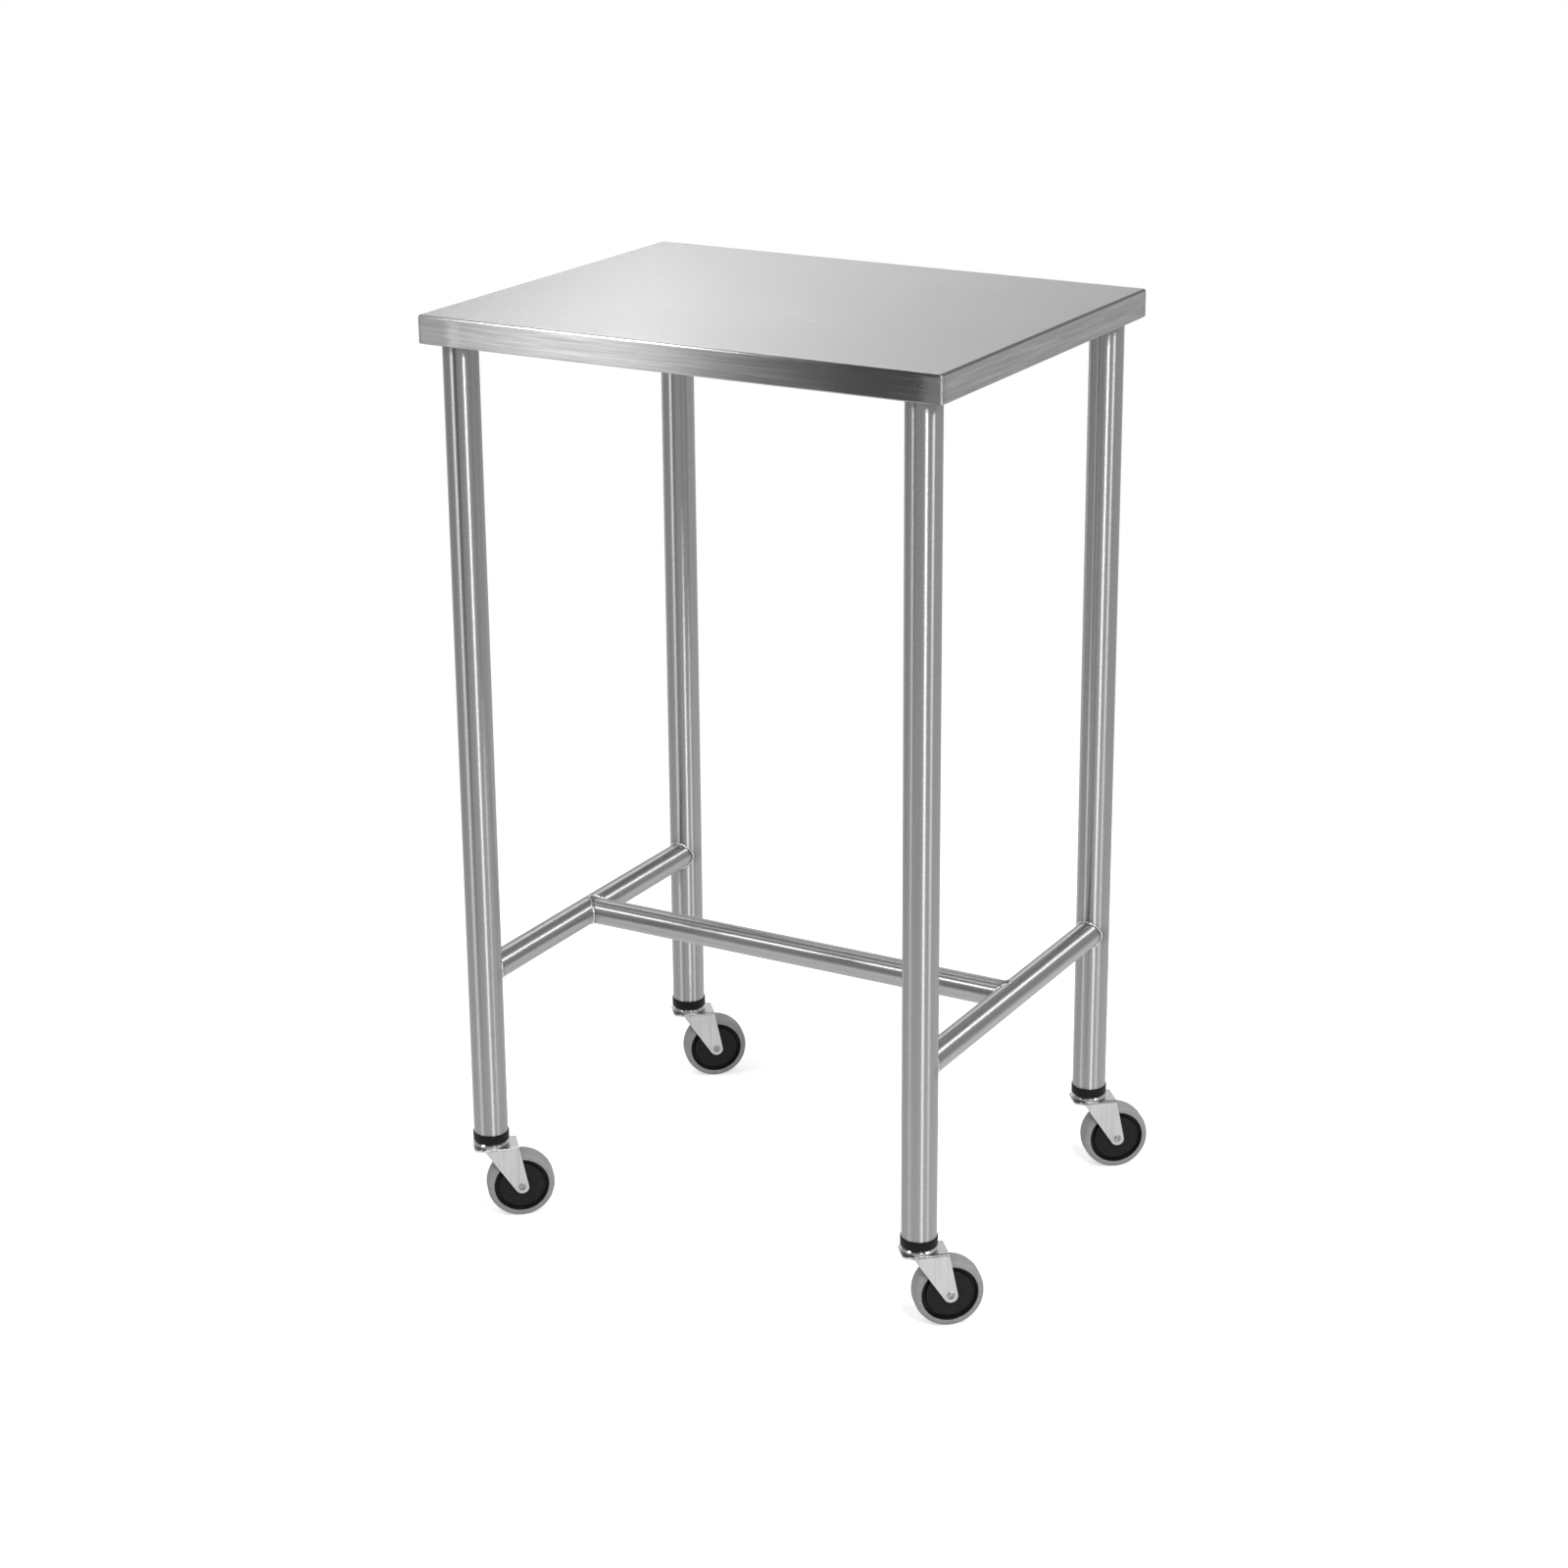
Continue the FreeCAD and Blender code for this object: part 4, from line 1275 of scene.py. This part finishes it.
def split(tree, vector):
    """The three parts of a vector."""
    parts = node(tree, "ShaderNodeSeparateXYZ", (-1100, -400))
    tree.links.new(vector, parts.inputs[0])
    return parts.outputs


def absolute(tree, value):
    """A value without its sign, so that left and right or front and back count alike."""
    return maths(tree, "ABSOLUTE", value)


def facing(tree):
    """The way the surface faces."""
    return node(tree, "ShaderNodeNewGeometry", (-1400, -600)).outputs["Normal"]


def end_apron(tree):
    """One on faces that look along X, which are the end aprons, and zero elsewhere."""
    return maths(tree, "GREATER_THAN", absolute(tree, split(tree, facing(tree))["X"]), END_FACE)


def side_bend(tree):
    """One on the bends between the top and the end aprons, where a dark reflection is painted, and zero
    elsewhere.
    """
    parts = split(tree, facing(tree))
    turn = maths(tree, "MULTIPLY", absolute(tree, parts["X"]), parts["Z"])
    return ranged(tree, turn, 0.0, 1.0, *SIDE_BEND)


def grain_direction(tree, shader, on_end):
    """Points the highlight across the grain, which runs along Y on the end aprons and along X elsewhere."""
    run = node(tree, "ShaderNodeCombineXYZ", (300, -600))
    tree.links.new(maths(tree, "SUBTRACT", 1.0, on_end), run.inputs["X"])
    tree.links.new(on_end, run.inputs["Y"])
    across = node(tree, "ShaderNodeVectorMath", (500, -600), operation="CROSS_PRODUCT")
    tree.links.new(facing(tree), across.inputs[0])
    tree.links.new(run.outputs[0], across.inputs[1])
    tree.links.new(across.outputs[0], shader.inputs["Tangent"])


TOP_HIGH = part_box("tabletop")[1]
print(f"work surface {2 * TOP_HIGH.x:.3f} by {2 * TOP_HIGH.y:.3f} m")

# %% [markdown]
# Ground corners
#
# Each corner was welded and ground, so at every apron's ends the surface is duller and its grain is
# lost. The grinder reaches far along the left ends of the long aprons, less far at their right ends,
# and hardly on to the end aprons. It could be painted by hand on an image. Here the distance from the
# corner gives a soft edge, and a noise makes the edge waver as a grinder's does.

# %% Distance from each corner
GROUND_RIGHT = 12.5
GROUND_LEFT = 38.0
GROUND_END = 5.0
GROUND_FADE = 11.0
GROUND_WAVER = 3.5
UNDER_BEND = 3
STREAKS = 420


def ground_corners(tree, on_end):
    """One on the ground ends of the aprons."""
    at = split(tree, place_in(tree))
    past_end = maths(tree, "SUBTRACT", absolute(tree, at["X"]), TOP_HIGH.x)
    past_side = maths(tree, "SUBTRACT", absolute(tree, at["Y"]), TOP_HIGH.y)
    on_long = maths(tree, "SUBTRACT", 1.0, on_end)
    along = maths(tree, "ADD", maths(tree, "MULTIPLY", past_end, on_long),
                  maths(tree, "MULTIPLY", past_side, on_end))
    on_left = maths(tree, "MULTIPLY", maths(tree, "LESS_THAN", at["X"], 0.0), on_long)
    for where, reach in ((on_left, GROUND_LEFT), (on_end, GROUND_END)):
        further = maths(tree, "MULTIPLY", where, (reach - GROUND_RIGHT) * MM)
        along = maths(tree, "ADD", along, further)
    waver = ranged(tree, grain(tree, (60, 60, STREAKS)), -GROUND_WAVER * MM, GROUND_WAVER * MM)
    edge = ranged(tree, maths(tree, "ADD", along, waver), 0.0, 1.0,
                  -(GROUND_RIGHT + GROUND_FADE) * MM, -(GROUND_RIGHT - GROUND_FADE) * MM)
    below = maths(tree, "LESS_THAN", at["Z"], -UNDER_BEND * MM)
    return maths(tree, "MULTIPLY", edge, below)


print(f"ground {GROUND_LEFT} mm on the left, {GROUND_RIGHT} mm on the right, {GROUND_END} mm on the ends")

# %% [markdown]
# Satin of the work surface
#
# The brush leaves broad streaks as well as fine lines. Both show most on the aprons, which are seen at
# a slant, and only faintly on the flat. The short sides' bends get a dark line painted into their
# colour, a painted reflection of something dark. One noise could carry all of it, but then lines,
# streaks and clouds could not be made stronger or fainter one by one, so each has a noise with its own
# stretch.

# %% Work surface
STEEL = 0.40
SHEET_ROUGHNESS = 0.25
SHEET_TINT = -0.006
LINES = 950
APRON_TOP = 2
FLAT_SHARE = 0.25
GROUND_CURVE = 2.0


def sheet_roughness(tree, corners, lines, ground):
    """Satin with fine lines and slow clouds, and much duller on the ground corners."""
    clouds = grain(tree, (3.5, 9, 9), detail=2)
    satin = maths(tree, "ADD", ranged(tree, lines, -0.022, 0.022), ranged(tree, clouds, 0.24, 0.265))
    dull = ranged(tree, ground, 0.68, 0.80)
    return blended(tree, maths(tree, "POWER", corners, GROUND_CURVE), satin, dull)


def sheet_shade(tree, corners, lines, streaks):
    """Steel grey with lines and streaks, lighter on ground corners, and a painted dark reflection on the
    short sides' bends.
    """
    on_apron = maths(tree, "LESS_THAN", split(tree, place_in(tree))["Z"], -APRON_TOP * MM)
    share = ranged(tree, on_apron, FLAT_SHARE, 1.0, 0.0, 1.0)
    light = maths(tree, "MULTIPLY", ranged(tree, streaks, 0.0, 1.0, 0.50, 0.68), share)
    dark = maths(tree, "MULTIPLY", ranged(tree, streaks, 1.0, 0.0, 0.32, 0.50), share)
    shade = blended(tree, ranged(tree, lines, 0.0, 1.0),
                    grey(STEEL * 0.95, SHEET_TINT), grey(STEEL * 1.05, SHEET_TINT))
    shade = blended(tree, light, shade, grey(STEEL * 1.22, SHEET_TINT))
    shade = blended(tree, dark, shade, grey(STEEL * 0.86, SHEET_TINT))
    shade = blended(tree, maths(tree, "MULTIPLY", corners, 0.5), shade, grey(STEEL * 1.05))
    # Painted dark reflection along the bends of the short sides.
    return blended(tree, side_bend(tree), shade, grey(STEEL * 0.42))


def sheet_steel():
    """Brushed sheet whose grain follows the apron it is on and is lost at the ground corners."""
    material, tree, shader = new_finish("satin_sheet", grey(STEEL), 1.0, SHEET_ROUGHNESS)
    shader.inputs["Anisotropic"].default_value = 1.0
    on_end = end_apron(tree)
    grain_direction(tree, shader, on_end)
    corners = ground_corners(tree, on_end)
    ground = grain(tree, (700, 700, 250))
    lines = blended(tree, on_end, grain(tree, (5, LINES, LINES), 4), grain(tree, (LINES, 5, LINES), 4))
    lines = blended(tree, corners, lines, ground)
    streaks = blended(tree, on_end,
                      grain(tree, (13, STREAKS, STREAKS)), grain(tree, (STREAKS, 13, STREAKS)))
    tree.links.new(sheet_roughness(tree, corners, lines, ground), shader.inputs["Roughness"])
    tree.links.new(sheet_shade(tree, corners, lines, streaks), shader.inputs["Base Color"])
    return material


put_on(sheet_steel(), "tabletop")

# %% [markdown]
# Mill sheet
#
# The channels and the stiffener under the work surface are never polished. They keep the sheet's finish
# as it left the mill: duller, a little darker and cloudy, with faint rolling lines. The satin could be
# used again, but from below the table would then look too good.

# %% Folded channels under the work surface
def mill_sheet():
    """Rolled sheet as it comes from the mill, with the rolling lines along it."""
    material, tree, shader = new_finish("mill_sheet", grey(STEEL * 0.92), 1.0, 0.4)
    rolling = grain(tree, (12, 240, 240))
    clouds = grain(tree, (30, 30, 30), detail=4)
    dull = maths(tree, "ADD", ranged(tree, rolling, 0.0, 0.06), ranged(tree, clouds, 0.34, 0.42))
    tree.links.new(dull, shader.inputs["Roughness"])
    shade = blended(tree, ranged(tree, clouds, 0.0, 1.0), grey(STEEL * 0.85), grey(STEEL))
    tree.links.new(shade, shader.inputs["Base Color"])
    return material


put_on(mill_sheet(), "end_channel_left", "end_channel_right", "centre_stiffener")

# %% [markdown]
# Shade, heat tint and dressing at the welds
#
# Where two tubes are welded, a few millimetres beside the bead are dressed and duller, and a darker
# line runs along the bead itself: painted shade in the joint, a little warm as heat tint. Both could be
# painted by hand on an image. Here the distance to the other tube's surface marks them. On the legs the
# painted shade and tint go only on the side that faces inwards, where the rail is.

# %% Distance to the welded tube
def distance_to_tube(tree, first, second, first_middle, second_middle, radius):
    """How far outside a tube's surface a point is, from two of its parts; X and Y count on both sides."""
    at = split(tree, place_in(tree))
    across = maths(tree, "SUBTRACT", absolute(tree, at[first]), first_middle)
    beside = absolute(tree, at[second]) if second == "Y" else at[second]
    beside = maths(tree, "SUBTRACT", beside, second_middle)
    squares = maths(tree, "ADD", maths(tree, "MULTIPLY", across, across),
                    maths(tree, "MULTIPLY", beside, beside))
    return maths(tree, "SUBTRACT", maths(tree, "SQRT", squares), radius)


to_leg = ("X", "Y", LEG_X, LEG_Y, leg_radius_m)
to_rail = ("X", "Z", LEG_X, rail_height, rail_radius)
print(f"welds {LEG_X:.3f} m and {LEG_Y:.3f} m from the middle")

# %% [markdown]
# Polished tube
#
# Round tube is polished as it turns between belts, so its scratches are fine rings. Such a surface
# draws every lamp out into a line along the tube. A plain satin would blur the lamps evenly all round,
# so the shader is given the tube's own direction and its full anisotropy.

# %% Legs and rails
TUBE_ROUGHNESS = 0.38
TUBE_TINT = -0.01
RINGS = 950
DRESSED = 5.0
DRESSED_FADE = 1.5
# Reach of the painted shade and heat tint along the joint, in millimetres.
JOINT_SHADE_AND_TINT = (0.9, 2.2)
SHADE_AND_TINT_INSET = 2
ANYWHERE = 1.0


def tube_steel(name, axis, rings, other, inner):
    """Polished tube along an axis; other finds the tube welded to it, and inner is how far out along Y."""
    material, tree, shader = new_finish(name, grey(STEEL, TUBE_TINT), 1.0, TUBE_ROUGHNESS)
    shader.inputs["Anisotropic"].default_value = 1.0
    along = node(tree, "ShaderNodeCombineXYZ", (500, -600))
    for socket, value in zip(along.inputs, axis):
        socket.default_value = value
    tree.links.new(along.outputs[0], shader.inputs["Tangent"])
    polish = grain(tree, rings, detail=4)
    draw = grain(tree, tuple(8 if part else 260 for part in axis))
    beyond = maths(tree, "SUBTRACT", absolute(tree, split(tree, place_in(tree))["Y"]), inner)
    weld = maths(tree, "MAXIMUM", distance_to_tube(tree, *other), beyond)
    dressed = ranged(tree, weld, 1.0, 0.0, (DRESSED - DRESSED_FADE) * MM, DRESSED * MM)
    joint_shade_and_tint = ranged(tree, weld, 1.0, 0.0, *[reach * MM for reach in JOINT_SHADE_AND_TINT])
    satin = maths(tree, "ADD", ranged(tree, polish, 0.37, 0.385), ranged(tree, draw, -0.012, 0.012))
    satin = maths(tree, "ADD", satin, maths(tree, "MULTIPLY", dressed, 0.07))
    tree.links.new(satin, shader.inputs["Roughness"])
    shade = blended(tree, ranged(tree, polish, 0.0, 1.0),
                    grey(STEEL * 0.98, TUBE_TINT), grey(STEEL * 1.06, TUBE_TINT))
    # Painted shade along the joint with the other tube, a little warm for heat tint.
    shade = blended(tree, joint_shade_and_tint, shade, grey(STEEL * 0.45, 0.05))
    tree.links.new(shade, shader.inputs["Base Color"])
    return material


upright_finish = tube_steel("tube_upright", (0, 0, 1), (30, 30, RINGS), to_rail, LEG_Y - SHADE_AND_TINT_INSET * MM)
side_finish = tube_steel("tube_side", (0, 1, 0), (30, RINGS, 30), to_leg, ANYWHERE)
cross_finish = tube_steel("tube_cross", (1, 0, 0), (RINGS, 30, 30), to_rail, ANYWHERE)
put_on(upright_finish, *[f"leg_{corner}" for corner in CORNERS])
put_on(side_finish, "side_rail_left", "side_rail_right")
put_on(cross_finish, "cross_rail")

# %% [markdown]
# Weld metal
#
# A bead that was laid by hand and brushed is brighter than the tube, and mottled where the ripples
# catch the light. The ripples themselves are in the mesh already. What is left for the nodes is a
# coarse mottle and a very fine roughness, so a plain noise without any direction is enough.

# %% Weld beads
def weld_steel():
    """Weld metal, brushed bright and mottled."""
    material, tree, shader = new_finish("weld_metal", grey(0.6), 1.0, 0.32)
    blotch = grain(tree, (420, 420, 420), detail=2)
    shade = blended(tree, ranged(tree, blotch, 0.0, 1.0), grey(0.46, 0.02), grey(0.72))
    tree.links.new(shade, shader.inputs["Base Color"])
    tree.links.new(ranged(tree, blotch, 0.22, 0.42), shader.inputs["Roughness"])
    raised(tree, shader, grain(tree, (1500, 1500, 1500), detail=2), 0.05)
    return material


put_on(weld_steel(), side_beads, cross_beads, top_beads)

# %% [markdown]
# Plating
#
# The pressings are zinc plated, which is bright but never quite even: the plating follows the drawing
# marks of the press and clouds a little. Cups, balls and stems are polished brighter than the fork, and
# the rivets are darker. In the fork's bends a dark line is painted into the colour as a painted
# reflection: a bend that small reflects a whole wall in the width of a hair, so the line is drawn by the
# surface's slope instead of being left to the reflection.

# %% Zinc plating
ZINC = 0.52
RIVET_ZINC = 0.36
BEND_STARTS = (0.30, 0.45)
BEND_ENDS = (0.80, 0.92)


def bend_line(tree):
    """One in the middle of the fork's bends, where the normal leans between level and up; there a dark
    reflection is painted.
    """
    rise = split(tree, facing(tree))["Z"]
    return maths(tree, "MULTIPLY", ranged(tree, rise, 0.0, 1.0, *BEND_STARTS),
                 ranged(tree, rise, 1.0, 0.0, *BEND_ENDS))


def zinc_plate(name, level, dull, bright, drawn_marks_and_painted_bend):
    """Zinc of one grey between two roughnesses; where it was drawn it has upright marks, and its bends get
    a painted dark reflection.
    """
    material, tree, shader = new_finish(name, grey(level, -0.01), 1.0, dull)
    clouds = grain(tree, (90, 90, 60))
    marks = grain(tree, (240, 240, 10) if drawn_marks_and_painted_bend else (400, 400, 400), detail=2)
    shade = blended(tree, ranged(tree, clouds, 0.0, 1.0),
                    grey(level * 0.95, -0.012), grey(level * 1.05, -0.008))
    shade = blended(tree, ranged(tree, marks, 0.0, 0.6, 0.50, 0.66), shade, grey(level * 0.80, -0.01))
    if drawn_marks_and_painted_bend:
        # Painted dark reflection in the middle of the bends.
        line = maths(tree, "MULTIPLY", bend_line(tree), 0.8)
        shade = blended(tree, line, shade, grey(level * 0.22))
    tree.links.new(shade, shader.inputs["Base Color"])
    satin = maths(tree, "ADD", ranged(tree, clouds, bright, dull), ranged(tree, marks, -0.02, 0.02))
    tree.links.new(satin, shader.inputs["Roughness"])
    raised(tree, shader, marks, 0.008, 0.4)
    return material


def four(name):
    """The four copies of a caster's piece."""
    return [bpy.data.objects[f"{name}_{corner}"] for corner in CORNERS]


pressing_zinc_with_painted_bends = zinc_plate("zinc_pressing", ZINC, 0.33, 0.27, True)
bright_zinc = zinc_plate("zinc_bright", ZINC, 0.20, 0.12, False)
rivet_zinc = zinc_plate("zinc_rivet", RIVET_ZINC, 0.33, 0.25, False)
put_on(bright_zinc, "caster_stems", "thrust_washers", cups, swivel_balls)
put_on(pressing_zinc_with_painted_bends, *four("fork_pressed"))
put_on(rivet_zinc, *four("axle_rivet"), *[f"axle_sleeve_{corner}" for corner in CORNERS])

# %% [markdown]
# Plastic and rubber
#
# The plastics are nearly black, and only their sheen tells the moulded hub from the duller socket. The
# tyre is a matt grey with fine pores, a shade lighter where the tread has been rubbed. One grey each
# would look like paint, so a cloud of lighter and darker grey and a very fine bump stand for the
# mould's skin.

# %% Moulded plastics and the tyre
def black_plastic(name, level, roughness, shine_level):
    """A moulded black with a very fine grain."""
    material, tree, shader = new_finish(name, grey(level), 0.0, roughness)
    shader.inputs["Specular IOR Level"].default_value = shine_level
    cloud = grain(tree, (160, 160, 160))
    shade = blended(tree, ranged(tree, cloud, 0.0, 1.0), grey(level * 0.7), grey(level * 1.4))
    tree.links.new(shade, shader.inputs["Base Color"])
    tree.links.new(ranged(tree, cloud, roughness - 0.05, roughness + 0.07), shader.inputs["Roughness"])
    raised(tree, shader, grain(tree, (2500, 2500, 2500), detail=2), 0.015, 0.6)
    return material


def grey_rubber():
    """Matt grey rubber with fine dark pores and slightly lighter rubbed places."""
    material, tree, shader = new_finish("tyre_rubber", grey(0.25), 0.0, 0.62)
    shader.inputs["Specular IOR Level"].default_value = 0.35
    rubbed = grain(tree, (90, 90, 90), detail=4, rough=0.7)
    specks = grain(tree, (1400, 1400, 1400), detail=2)
    shade = blended(tree, ranged(tree, rubbed, 0.0, 1.0), grey(0.225), grey(0.27))
    shade = blended(tree, ranged(tree, specks, 0.0, 0.35, 0.6, 0.72), shade, grey(0.17))
    tree.links.new(shade, shader.inputs["Base Color"])
    tree.links.new(ranged(tree, rubbed, 0.55, 0.72), shader.inputs["Roughness"])
    raised(tree, shader, specks, 0.03, 0.7)
    return material


put_on(black_plastic("socket_plastic", 0.005, 0.48, 0.14), sockets)
put_on(black_plastic("hub_plastic", 0.009, 0.38, 0.14), *four("hub_moulded"))
put_on(grey_rubber(), *four("tyre_rubber"))
